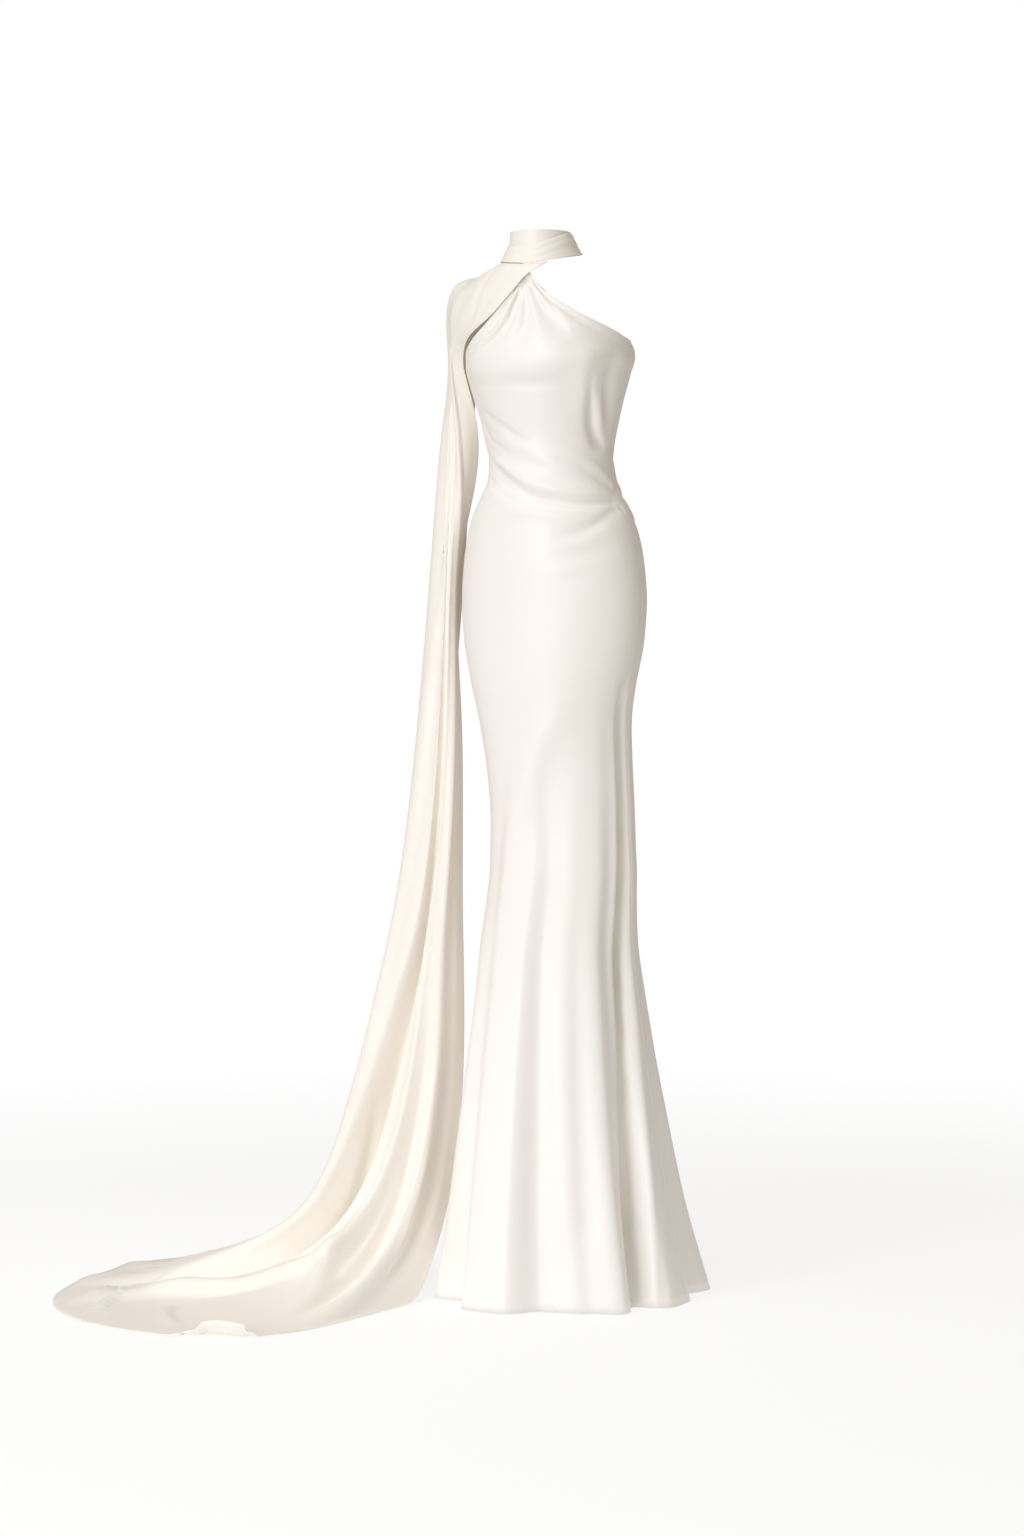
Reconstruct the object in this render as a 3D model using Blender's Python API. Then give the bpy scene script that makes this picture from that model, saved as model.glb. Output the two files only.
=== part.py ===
"""One-shoulder evening gown in heavy satin, filled out as if worn, with nobody in it.

Six pieces are cut and sewn: a bias-cut front in one piece from the hem to the gathered point
below the throat, two back panels, a neck stand, a scarf band wrapped round it, and a cape that
hangs from the neck over the right shoulder and runs out into a train on the floor.

Metres, +Z up, the front faces -Y and the wearer's left is +X. The origin is in the neck, where
the gown is held, so the tables give heights above the floor and place() brings them down.
Angles run round the body from the centre front, in degrees, towards the wearer's left.
"""
import functools
import math

import bmesh
import bpy
import numpy as np

# Driving dimensions
HOLD_HEIGHT = 1.600
WALL = 0.0016
SEAM_GAP = 0.0003
HEM_HEIGHT = 0.0012
UNDERARM_ROW = 1.400
FLOOR_CLEARANCE = 0.0008
SIDE_ANGLE = 90.0
BACK_ANGLE = 180.0
# Step along a surface that its direction is read from
NUDGE = 1e-3

# Body sections, hem to throat: height, centre x and y, half width, half depth in front and behind
BODY = np.array([
    (0.000, 0.016, 0.030, 0.190, 0.194, 0.205),
    (0.147, 0.008, 0.028, 0.168, 0.170, 0.170),
    (0.270, 0.003, 0.027, 0.153, 0.150, 0.156),
    (0.394, 0.000, 0.026, 0.139, 0.132, 0.138),
    (0.518, 0.000, 0.022, 0.126, 0.114, 0.120),
    (0.610, 0.007, 0.018, 0.119, 0.102, 0.108),
    (0.660, 0.011, 0.016, 0.117, 0.097, 0.103),
    (0.734, 0.011, 0.014, 0.1155, 0.092, 0.098),
    (0.827, 0.007, 0.009, 0.1183, 0.089, 0.094),
    (0.889, 0.003, 0.004, 0.1235, 0.090, 0.096),
    (0.951, 0.001, 0.001, 0.1350, 0.093, 0.104),
    (1.012, 0.001, 0.001, 0.1465, 0.095, 0.115),
    (1.074, 0.001, 0.001, 0.1505, 0.097, 0.119),
    (1.136, 0.001, 0.001, 0.1460, 0.099, 0.112),
    (1.198, 0.001, 0.000, 0.1325, 0.097, 0.097),
    (1.229, 0.000, 0.000, 0.1180, 0.092, 0.085),
    (1.260, 0.001, 0.000, 0.1035, 0.087, 0.075),
    (1.291, 0.000, 0.000, 0.1000, 0.086, 0.072),
    (1.322, -0.002, 0.000, 0.1050, 0.090, 0.074),
    (1.353, -0.002, 0.000, 0.1120, 0.096, 0.076),
    (1.384, -0.003, 0.000, 0.1210, 0.103, 0.078),
    (1.415, -0.003, 0.000, 0.1300, 0.111, 0.082),
    (1.446, 0.000, 0.000, 0.1360, 0.113, 0.085),
    (1.480, 0.000, -0.002, 0.1360, 0.111, 0.085),
    (1.520, 0.000, -0.006, 0.1250, 0.102, 0.080),
    (1.550, 0.000, -0.012, 0.1050, 0.088, 0.075),
    (1.575, 0.000, -0.020, 0.0800, 0.075, 0.070),
    (1.600, 0.000, -0.030, 0.0660, 0.064, 0.063),
])

# Bust cups: angle, height, half spread round and up, rise
BUST = ((-33.0, 1.440, 30.0, 0.045, 0.007), (33.0, 1.440, 30.0, 0.045, 0.007))

# Hem flutes, a row for each crest and valley: angle, reach in or out at the hem, height where it
# starts, and how late it grows
FLUTES = np.array([
    (-160.0, 0.016, 0.80, 1.5),
    (-141.0, -0.018, 0.72, 1.5),
    (-122.0, 0.018, 0.80, 1.5),
    (-103.0, -0.016, 0.70, 1.5),
    (-86.0, 0.014, 0.72, 1.5),
    (-69.0, -0.012, 0.60, 1.5),
    (-50.0, 0.022, 0.62, 1.5),
    (-36.0, -0.010, 0.60, 1.4),
    (-20.0, 0.028, 0.84, 1.2),
    (-3.0, 0.022, 0.84, 1.2),
    (12.0, -0.019, 0.88, 1.0),
    (34.0, -0.006, 0.76, 1.2),
    (50.0, 0.014, 0.80, 1.3),
    (63.0, -0.012, 0.95, 1.0),
    (77.0, 0.014, 0.92, 1.2),
    (92.0, 0.010, 0.80, 1.4),
    (105.0, -0.014, 0.70, 1.5),
    (124.0, 0.028, 0.66, 1.5),
    (143.0, -0.018, 0.72, 1.5),
    (162.0, 0.018, 0.80, 1.5),
    (181.0, -0.018, 0.75, 1.5),
])

# Soft creases on the body: angle and height at the start, middle and end, reach out, half width
CREASES = (
    ("crossing waist fold", -48, 1.282, 4, 1.232, 78, 1.220, -0.0045, 0.012),
    ("ridge over the waist fold", -40, 1.296, 8, 1.252, 76, 1.236, 0.0040, 0.012),
    ("ridge under the waist fold", -40, 1.252, 8, 1.208, 72, 1.206, 0.0030, 0.014),
    ("upper side drape", -60, 1.362, -28, 1.326, 8, 1.306, -0.0030, 0.011),
    ("rib drape", -30, 1.330, 15, 1.290, 66, 1.246, 0.0035, 0.014),
    ("underbust", -75, 1.408, 0, 1.398, 62, 1.404, -0.0035, 0.016),
    ("bust dart", 50, 1.375, 60, 1.335, 68, 1.300, -0.0030, 0.011),
    ("hip drape", 76, 1.210, 44, 1.178, 18, 1.165, -0.0025, 0.013),
    ("low hip drape", 66, 1.152, 40, 1.140, 14, 1.135, -0.0018, 0.014),
    ("side turn", 46, 1.456, 48, 1.400, 56, 1.335, 0.0040, 0.016),
    ("side hollow", 68, 1.452, 69, 1.395, 79, 1.330, -0.0040, 0.016),
    ("thigh ridge", 30, 0.920, -14, 0.753, -25, 0.535, 0.0080, 0.024),
    ("side valley", 79, 0.950, 75, 0.420, 51, -0.250, -0.0350, 0.012),
)
CREASE_SAMPLES = 90
CREASE_RADIUS = 0.115
CREASE_TAPER = 0.7

# Upper edges of the front, from the row below the arms to the point under the neck band:
# share of the way, angle and height at the cape's side, angle and height at the open shoulder
FRONT_EDGES = np.array([
    (0.00, -90.0, 1.400, 90.0, 1.400),
    (0.30, -90.0, 1.436, 90.0, 1.464),
    (0.42, -74.0, 1.446, 76.0, 1.4755),
    (0.52, -60.0, 1.456, 64.0, 1.4850),
    (0.62, -44.0, 1.472, 53.0, 1.4945),
    (0.72, -31.0, 1.490, 41.5, 1.507),
    (0.82, -20.5, 1.514, 29.5, 1.5245),
    (0.91, -12.5, 1.540, 18.5, 1.5430),
    (1.00, -9.0, 1.562, 5.0, 1.5745),
])
CORNER_SHARE = 0.30

# Gathers that run to the point: share across, half width in shares, reach out
GATHERS = (
    (0.14, 0.070, -0.0026),
    (0.22, 0.060, 0.0022),
    (0.31, 0.060, -0.0040),
    (0.41, 0.070, 0.0028),
    (0.50, 0.060, -0.0020),
    (0.59, 0.070, 0.0022),
    (0.70, 0.070, -0.0028),
    (0.81, 0.080, 0.0020),
    (0.90, 0.060, -0.0016),
)
# Strength of the gathers up the front: share of the way to the point, strength
GATHER_REACH = np.array([(0.0, 0.0), (0.25, 0.10), (0.55, 0.70), (0.80, 1.0), (0.92, 0.50), (1.0, 0.10)])

# Upper edge of the back: angle from the centre front, height
BACK_TOP = np.array([(-180.0, 1.405), (-150.0, 1.409), (-115.0, 1.424), (-90.0, 1.436)])
BACK_TOP_LEFT = np.array([(90.0, 1.464), (116.0, 1.440), (150.0, 1.412), (180.0, 1.405)])

# Neck stand: height, radius; and the line of the neck: height, centre x and y
STAND = np.array([(1.595, 0.0550), (1.605, 0.0520), (1.615, 0.0497), (1.626, 0.0474), (1.636, 0.0464)])
STAND_TOP = 1.636
STAND_FOOT = np.array([(-180.0, 1.6180), (-70.0, 1.6020), (0.0, 1.5980), (70.0, 1.6060), (180.0, 1.6180)])
NECK_LINE = np.array([(1.585, 0.000, -0.034), (1.610, 0.001, -0.039), (1.640, 0.002, -0.045)])
# Scarf band, round the neck: angle, height of the lower and the upper edge
BAND = np.array([
    (-180.0, 1.6170, 1.6310),
    (-117.0, 1.6060, 1.6220),
    (-63.0, 1.5940, 1.6160),
    (-20.0, 1.5870, 1.6135),
    (8.0, 1.5845, 1.6125),
    (43.0, 1.5905, 1.6215),
    (85.0, 1.5980, 1.6325),
    (125.0, 1.6060, 1.6340),
    (180.0, 1.6170, 1.6310),
])
BAND_FOOT_RADIUS = 0.0632
BAND_ROUNDING = 0.85
# Slanting folds of the scarf band: share up at the front, rise round the neck, half width, reach out
BAND_FOLDS = ((0.34, 0.30, 0.26, 0.0007), (0.72, 0.22, 0.20, 0.0005))

# Guide lines of the cape, front edge to back edge. Share across and angle at the neck, then
# points over the shoulder, then plan points (x, y) where the line hangs and lies
CAPE_SHOULDER = (
    (0.00, 36.0, (0.011, -0.1010, 1.5696), (-0.0575, -0.1100, 1.5050), (-0.1225, -0.0640, 1.4600)),
    (0.08, 2.0, (-0.030, -0.0955, 1.5700), (-0.103, -0.0890, 1.4950), (-0.137, -0.0580, 1.4600)),
    (0.20, -26.0, (-0.070, -0.0760, 1.5770), (-0.130, -0.0680, 1.5130), (-0.149, -0.0540, 1.4600)),
    (0.32, -44.0, (-0.088, -0.0580, 1.5780), (-0.139, -0.0560, 1.5390), (-0.153, -0.0460, 1.4600)),
    (0.44, -57.0, (-0.096, -0.0440, 1.5785), (-0.142, -0.0430, 1.5560), (-0.158, -0.0350, 1.4600)),
    (0.56, -68.0, (-0.101, -0.0290, 1.5785), (-0.147, -0.0280, 1.5695), (-0.169, -0.0250, 1.4600)),
    (0.66, -79.0, (-0.105, -0.0140, 1.5785), (-0.150, -0.0120, 1.5735), (-0.176, -0.0110, 1.4600)),
    (0.76, -92.0, (-0.106, 0.0040, 1.5785), (-0.152, 0.0100, 1.5715), (-0.183, 0.0100, 1.4600)),
    (0.88, -110.0, (-0.100, 0.0220, 1.5780), (-0.145, 0.0380, 1.5510), (-0.177, 0.0380, 1.4600)),
    (1.00, -130.0, (-0.078, 0.0320, 1.5790), (-0.124, 0.0660, 1.5180), (-0.154, 0.0640, 1.4500)),
)
CAPE_HEIGHTS = (1.353, 1.150, 0.900, 0.610, 0.300, 0.120, 0.040, 0.008, 0.003)
CAPE_FALL = (
    ((-0.125, -0.012), (-0.162, 0.008), (-0.163, 0.009), (-0.159, 0.006), (-0.156, -0.002),
     (-0.156, -0.058), (-0.154, -0.118), (-0.152, -0.160), (-0.152, -0.184)),
    ((-0.136, -0.026), (-0.163, -0.008), (-0.162, -0.010), (-0.161, -0.020), (-0.163, -0.040),
     (-0.165, -0.100), (-0.164, -0.180), (-0.163, -0.245), (-0.164, -0.300)),
    ((-0.149, -0.036), (-0.158, -0.030), (-0.163, -0.034), (-0.166, -0.044), (-0.178, -0.070),
     (-0.186, -0.148), (-0.190, -0.270), (-0.198, -0.400), (-0.208, -0.508)),
    ((-0.156, -0.032), (-0.166, -0.033), (-0.172, -0.038), (-0.180, -0.054), (-0.205, -0.085),
     (-0.234, -0.168), (-0.264, -0.305), (-0.300, -0.445), (-0.330, -0.560)),
    ((-0.163, -0.027), (-0.172, -0.030), (-0.180, -0.037), (-0.193, -0.057), (-0.232, -0.090),
     (-0.286, -0.163), (-0.352, -0.288), (-0.430, -0.420), (-0.500, -0.532)),
    ((-0.173, -0.020), (-0.179, -0.024), (-0.190, -0.033), (-0.208, -0.057), (-0.262, -0.090),
     (-0.326, -0.148), (-0.424, -0.248), (-0.530, -0.345), (-0.636, -0.425)),
    ((-0.185, -0.011), (-0.195, -0.016), (-0.212, -0.028), (-0.235, -0.052), (-0.296, -0.082),
     (-0.365, -0.123), (-0.490, -0.195), (-0.600, -0.255), (-0.698, -0.300)),
    ((-0.192, 0.004), (-0.211, 0.002), (-0.229, -0.004), (-0.257, -0.028), (-0.321, -0.055),
     (-0.392, -0.075), (-0.540, -0.115), (-0.640, -0.135), (-0.724, -0.145)),
    ((-0.187, 0.034), (-0.204, 0.035), (-0.226, 0.030), (-0.256, 0.014), (-0.316, -0.008),
     (-0.385, -0.020), (-0.520, -0.018), (-0.615, -0.010), (-0.700, 0.000)),
    ((-0.168, 0.058), (-0.184, 0.062), (-0.206, 0.062), (-0.232, 0.056), (-0.280, 0.050),
     (-0.340, 0.056), (-0.430, 0.070), (-0.500, 0.085), (-0.570, 0.098)),
)
FALL_STATION = 4
CAPE_TUCK = 0.0015
FRONT_TUCK = 0.0010
GUIDE_SAMPLES = 600
NECK_BLEND = 0.3

# Where the cape's front edge lies on the front panel: steps between which it comes down to the panel,
# steps between which it leaves it, share over which it lifts off, and height of its outside over the panel
LAY_COMES = (0.05, 0.20)
LAY_LEAVES = (0.60, 0.85)
LAY_SHARE = 0.17
LAY_HEIGHT = 0.0048

# Pleats down the cape, each a row of stations: step, share across, half width in shares, reach out
PLEATS = (
    ("inner crest", (0.50, 0.19, 0.060, 0.0), (1.00, 0.19, 0.060, 0.005), (1.13, 0.13, 0.055, 0.005),
     (1.35, 0.16, 0.070, 0.007), (1.50, 0.22, 0.080, 0.010), (1.65, 0.19, 0.070, 0.014),
     (1.80, 0.19, 0.060, 0.012), (1.92, 0.20, 0.060, 0.005), (2.00, 0.20, 0.060, 0.003)),
    ("main valley", (0.60, 0.27, 0.060, 0.0), (1.00, 0.28, 0.055, -0.002), (1.13, 0.30, 0.065, -0.003),
     (1.31, 0.33, 0.080, -0.010), (1.44, 0.42, 0.100, -0.022), (1.55, 0.53, 0.085, -0.030),
     (1.66, 0.575, 0.070, -0.042), (1.74, 0.595, 0.064, -0.048), (1.80, 0.61, 0.060, -0.048),
     (1.85, 0.625, 0.056, -0.030), (1.90, 0.635, 0.050, -0.018), (1.95, 0.65, 0.045, -0.008),
     (2.00, 0.65, 0.050, 0.0)),
    ("wide hollow", (1.45, 0.46, 0.120, 0.0), (1.60, 0.47, 0.150, -0.020), (1.70, 0.48, 0.160, -0.034),
     (1.78, 0.48, 0.150, -0.036), (1.84, 0.50, 0.130, -0.018), (1.90, 0.52, 0.100, -0.004),
     (1.95, 0.52, 0.100, 0.0)),
    ("outer crest", (0.80, 0.42, 0.060, 0.0), (1.00, 0.43, 0.070, 0.004), (1.27, 0.66, 0.080, 0.001),
     (1.46, 0.71, 0.070, 0.001), (1.60, 0.70, 0.065, 0.004), (1.72, 0.685, 0.060, 0.010),
     (1.80, 0.685, 0.055, 0.008), (1.87, 0.70, 0.050, 0.010), (1.94, 0.71, 0.050, 0.008),
     (2.00, 0.71, 0.050, 0.003)),
    ("front valley", (1.45, 0.09, 0.050, 0.0), (1.65, 0.10, 0.055, -0.008), (1.80, 0.10, 0.055, -0.013),
     (1.90, 0.11, 0.050, -0.006), (1.98, 0.11, 0.050, 0.0)),
    ("middle valley", (1.55, 0.27, 0.050, 0.0), (1.68, 0.255, 0.045, -0.008),
     (1.80, 0.235, 0.045, -0.014), (1.88, 0.235, 0.040, -0.006), (1.96, 0.235, 0.040, 0.0)),
    ("middle crest", (1.50, 0.38, 0.060, 0.0), (1.65, 0.345, 0.060, 0.012), (1.72, 0.335, 0.050, 0.018),
     (1.80, 0.33, 0.045, 0.018), (1.85, 0.295, 0.045, 0.012), (1.92, 0.28, 0.045, 0.005),
     (2.00, 0.28, 0.045, 0.003)),
    ("lower ridge", (1.72, 0.33, 0.050, 0.0), (1.79, 0.34, 0.055, 0.010), (1.82, 0.42, 0.058, 0.019),
     (1.85, 0.50, 0.055, 0.020), (1.885, 0.565, 0.048, 0.015), (1.94, 0.59, 0.045, 0.008),
     (2.00, 0.59, 0.045, 0.0)),
    ("tail valley", (1.55, 0.76, 0.045, 0.0), (1.70, 0.75, 0.050, -0.012), (1.80, 0.74, 0.045, -0.018),
     (1.88, 0.75, 0.045, -0.012), (1.96, 0.76, 0.045, 0.0)),
    ("tail crest", (1.50, 0.80, 0.050, 0.0), (1.70, 0.81, 0.050, 0.004), (1.82, 0.81, 0.050, 0.004),
     (1.92, 0.81, 0.045, 0.006), (2.00, 0.81, 0.045, 0.004)),
    ("back valley", (1.05, 0.86, 0.060, 0.0), (1.25, 0.86, 0.060, -0.005), (1.45, 0.86, 0.060, -0.014),
     (1.70, 0.87, 0.050, -0.020), (1.82, 0.87, 0.045, -0.016), (1.92, 0.87, 0.045, -0.003),
     (1.98, 0.87, 0.045, 0.0)),
    ("back crest", (1.10, 0.94, 0.050, 0.0), (1.30, 0.94, 0.050, 0.004), (1.50, 0.93, 0.055, 0.010),
     (1.72, 0.93, 0.050, 0.016), (1.84, 0.93, 0.045, 0.012), (2.00, 0.93, 0.045, 0.004)),
)

# Rows and columns of the solids
SKIRT_ROWS = (0.0, 0.045, 0.10, 0.16, 0.225, 0.295, 0.37, 0.45, 0.535, 0.62, 0.705, 0.79, 0.875, 0.955)
TORSO_ROWS = (1.03, 1.10, 1.150, 1.185, 1.208, 1.225, 1.243, 1.262, 1.283, 1.310, 1.340, 1.372)
BODICE_ROWS = (1.0, 1.15, 1.30, 1.42, 1.52, 1.62, 1.72, 1.82, 1.91, 2.0)
SKIRT_COLUMNS = 60
TORSO_COLUMNS = 26
POINT_COLUMNS = 13
POINT_STEP = 1.8
BACK_SKIRT_COLUMNS = 22
BACK_TORSO_COLUMNS = 8
CAPE_COLUMNS = 36
SHOULDER_ROWS = 8
HANGING_ROWS = 24
NECK_COLUMNS = 30
STAND_ROWS = 3
WRAP_ROWS = 5

SATIN_COLOUR = (0.93, 0.90, 0.85, 1.0)
CAPE_COLOUR = (0.93, 0.885, 0.80, 1.0)
SATIN_ROUGHNESS = 0.38


def steady(places, values, at):
    """Smooth curve through a table's rows that never swings past them."""
    places = np.asarray(places, float)
    values = np.asarray(values, float)
    at = np.clip(np.asarray(at, float), places[0], places[-1])
    step = np.diff(places)
    rise = (np.diff(values, axis=0).T / step).T
    turns = rise[:-1] * rise[1:] <= 0
    total = np.where(turns, 1.0, rise[:-1] + rise[1:])
    slope = np.empty_like(values)
    slope[1:-1] = np.where(turns, 0.0, 2 * rise[:-1] * rise[1:] / total)
    slope[0] = rise[0]
    slope[-1] = rise[-1]
    row = np.clip(np.searchsorted(places, at, side="right") - 1, 0, len(step) - 1)
    span = step[row]
    share = (at - places[row]) / span
    if values.ndim > 1:
        span = span[..., None]
        share = share[..., None]
    near = values[row] * (1 + 2 * share) * (1 - share) ** 2 + values[row + 1] * share ** 2 * (3 - 2 * share)
    return near + span * (slope[row] * share * (1 - share) ** 2 - slope[row + 1] * share ** 2 * (1 - share))


def flowing(places, values, at):
    """Natural cubic curve through rows of values."""
    places = np.asarray(places, float)
    values = np.asarray(values, float)
    count = len(places)
    step = np.diff(places)
    rise = np.diff(values, axis=0) / step[:, None]
    system = np.eye(count)
    target = np.zeros_like(values)
    for row in range(1, count - 1):
        system[row, row - 1:row + 2] = step[row - 1], 2 * (step[row - 1] + step[row]), step[row]
        target[row] = 6 * (rise[row] - rise[row - 1])
    bend = np.linalg.solve(system, target)
    at = np.asarray(at, float)
    row = np.clip(np.searchsorted(places, at, side="right") - 1, 0, count - 2)
    span = step[row][:, None]
    ahead = (at - places[row])[:, None]
    start = rise[row] - span * (2 * bend[row] + bend[row + 1]) / 6
    turn = bend[row] / 2 + ahead * (bend[row + 1] - bend[row]) / (6 * span)
    return values[row] + ahead * (start + ahead * turn)


def bump(offset):
    """A soft hump, one at no offset and nothing from one half width on."""
    return np.cos(np.clip(np.abs(offset), 0, 1) * math.pi / 2) ** 2


def flute_reach(angle, height):
    """How far the skirt stands out or in at an angle, from its hem flutes."""
    start = FLUTES[:, 2]
    grown = np.clip((start - np.asarray(height)[..., None]) / start, 0, 1) ** FLUTES[:, 3]
    reach = FLUTES[:, 1] * grown
    turn = (np.asarray(angle) - FLUTES[0, 0]) % 360.0
    places = np.append(FLUTES[:, 0] - FLUTES[0, 0], 360.0)
    row = np.clip(np.searchsorted(places, turn, side="right") - 1, 0, len(FLUTES) - 1)
    share = (turn - places[row]) / (places[row + 1] - places[row])
    near = np.take_along_axis(reach, row[..., None], -1)[..., 0]
    far = np.take_along_axis(reach, ((row + 1) % len(FLUTES))[..., None], -1)[..., 0]
    return near + (far - near) * (1 - np.cos(share * math.pi)) / 2


def crease_reach(angle, height):
    """How far the soft creases stand out or in."""
    across = np.radians(angle) * CREASE_RADIUS
    reach = np.zeros_like(across)
    share = np.linspace(0, 1, CREASE_SAMPLES)
    strength = np.sin(share * math.pi) ** CREASE_TAPER
    for _, *spots, depth, half_width in CREASES:
        spots = np.array(spots, float).reshape(3, 2)
        middle = 2 * spots[1] - (spots[0] + spots[2]) / 2
        path = np.outer((1 - share) ** 2, spots[0]) + np.outer(2 * share * (1 - share), middle)
        path += np.outer(share ** 2, spots[2])
        apart = np.hypot(across[..., None] - np.radians(path[:, 0]) * CREASE_RADIUS,
                         np.asarray(height)[..., None] - path[:, 1])
        nearest = np.argmin(apart, axis=-1)
        distance = np.min(apart, axis=-1)
        reach += depth * strength[nearest] * np.exp(-(distance / half_width) ** 2)
    return reach


def body_point(angle, height):
    """A point of the gown's body, outside, with its flutes, cups and creases."""
    angle, height = np.broadcast_arrays(np.asarray(angle, float), np.asarray(height, float))
    centre_x, centre_y, half_width, front, back = np.moveaxis(steady(BODY[:, 0], BODY[:, 1:], height), -1, 0)
    sine = np.sin(np.radians(angle))
    cosine = np.cos(np.radians(angle))
    depth = np.where(cosine > 0, front, back)
    reach = flute_reach(angle, height) + crease_reach(angle, height)
    for cup_angle, cup_height, spread, rise_height, rise in BUST:
        away = ((angle - cup_angle) / spread) ** 2 + ((height - cup_height) / rise_height) ** 2
        reach = reach + rise * np.exp(-away)
    return np.stack((centre_x + (half_width + reach) * sine, centre_y - (depth + reach) * cosine, height), -1)


def seam_shift(height):
    """Angle that half the gap of a seam takes up at a height."""
    half_width = steady(BODY[:, 0], BODY[:, 3], height)
    return np.degrees(SEAM_GAP / 2 / half_width)


def front_place(share, step):
    """Angle and height on the front panel: steps 0 to 1 up the body, 1 to 2 up to the point."""
    share, step = np.broadcast_arrays(np.asarray(share, float), np.asarray(step, float))
    below = HEM_HEIGHT + (UNDERARM_ROW - HEM_HEIGHT) * np.clip(step, 0, 1)
    edges = steady(FRONT_EDGES[:, 0], FRONT_EDGES[:, 1:], np.clip(step - 1, 0, 1))
    right_angle, right_height, left_angle, left_height = np.moveaxis(edges, -1, 0)
    low_right = np.where(step > 1, right_height, below)
    low_left = np.where(step > 1, left_height, below)
    height = low_right + (low_left - low_right) * share
    right = np.where(step > 1, right_angle, -SIDE_ANGLE) + seam_shift(height)
    left = np.where(step > 1, left_angle, SIDE_ANGLE) - seam_shift(height)
    return right + (left - right) * share, height


def front_surface(share, step):
    """Outside of the front panel, with the gathers that run up to its point."""
    angle, height = front_place(share, step)
    points = body_point(angle, height)
    strength = steady(GATHER_REACH[:, 0], GATHER_REACH[:, 1], np.clip(np.asarray(step) - 1, 0, 1))
    reach = np.zeros_like(angle)
    for middle, half_width, depth in GATHERS:
        reach = reach + depth * bump((share - middle) / half_width)
    reach = reach * strength
    points[..., 0] += reach * np.sin(np.radians(angle))
    points[..., 1] -= reach * np.cos(np.radians(angle))
    return points


def back_surface(side):
    """Outside of one back panel: side -1 is the wearer's right, +1 the left."""
    table = BACK_TOP if side < 0 else BACK_TOP_LEFT

    def surface(share, step):
        share, step = np.broadcast_arrays(np.asarray(share, float), np.asarray(step, float))
        start, end = (-BACK_ANGLE, -SIDE_ANGLE) if side < 0 else (SIDE_ANGLE, BACK_ANGLE)
        plain_angle = start + (end - start) * share
        top = steady(table[:, 0], table[:, 1], plain_angle)
        below = HEM_HEIGHT + (UNDERARM_ROW - HEM_HEIGHT) * np.clip(step, 0, 1)
        height = below + (top - UNDERARM_ROW) * np.clip((step - 1) / CORNER_SHARE, 0, 1)
        shift = seam_shift(height)
        return body_point(plain_angle + shift * (1 - 2 * share), height)

    return surface


def neck_point(angle, height, radius):
    """A point on a ring round the leaning neck."""
    centre = steady(NECK_LINE[:, 0], NECK_LINE[:, 1:], height)
    x = centre[..., 0] + radius * np.sin(np.radians(angle))
    y = centre[..., 1] - radius * np.cos(np.radians(angle))
    return np.stack((x, y, height), -1)


def stand_surface(share, step):
    """Outside of the neck stand."""
    share, step = np.broadcast_arrays(np.asarray(share, float), np.asarray(step, float))
    angle = 360.0 * share - 180.0
    foot = steady(STAND_FOOT[:, 0], STAND_FOOT[:, 1], angle)
    height = foot + (STAND_TOP - foot) * step
    return neck_point(angle, height, steady(STAND[:, 0], STAND[:, 1], height))


def band_edges(angle):
    """Heights of the scarf band's lower and upper edge."""
    turned = (np.asarray(angle, float) + 180.0) % 360.0 - 180.0
    edges = steady(BAND[:, 0], BAND[:, 1:], turned)
    return edges[..., 0], edges[..., 1]


def band_surface(share, step):
    """Outside of the scarf band, a cone that wraps down over the stand."""
    share, step = np.broadcast_arrays(np.asarray(share, float), np.asarray(step, float))
    angle = 360.0 * share - 180.0
    low, high = band_edges(angle)
    height = low + (high - low) * step
    over_stand = steady(STAND[:, 0], STAND[:, 1], high) + WALL + SEAM_GAP
    radius = BAND_FOOT_RADIUS + (over_stand - BAND_FOOT_RADIUS) * step ** BAND_ROUNDING
    for middle, rise, half_width, reach in BAND_FOLDS:
        line = middle + rise * np.sin(np.radians(angle))
        radius = radius + reach * bump((step - line) / half_width)
    return neck_point(angle, height, radius)


def cape_neck(angle):
    """The cape's upper edge, tucked just under the scarf band."""
    low, _ = band_edges(angle)
    front = np.clip(np.asarray(angle) / CAPE_SHOULDER[0][1], 0, 1)
    return neck_point(angle, low - CAPE_TUCK - FRONT_TUCK * front, BAND_FOOT_RADIUS - WALL / 2)


@functools.cache
def cape_guides():
    """Each guide line of the cape as a fine curve: its points, and its length at the neck, arm and hem."""
    guides = []
    for (_, angle, *shoulder), fall in zip(CAPE_SHOULDER, CAPE_FALL):
        hanging = [(x, y, height) for (x, y), height in zip(fall, CAPE_HEIGHTS)]
        stations = np.array([cape_neck(angle), *shoulder, *hanging])
        chord = np.append(0, np.cumsum(np.linalg.norm(np.diff(stations, axis=0), axis=1)))
        fine = np.linspace(0, chord[-1], GUIDE_SAMPLES)
        curve = flowing(chord, stations, fine)
        length = np.append(0, np.cumsum(np.linalg.norm(np.diff(curve, axis=0), axis=1)))
        hang_length = np.interp(chord[FALL_STATION], fine, length)
        guides.append((curve, length, (0, hang_length, length[-1])))
    return guides


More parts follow.
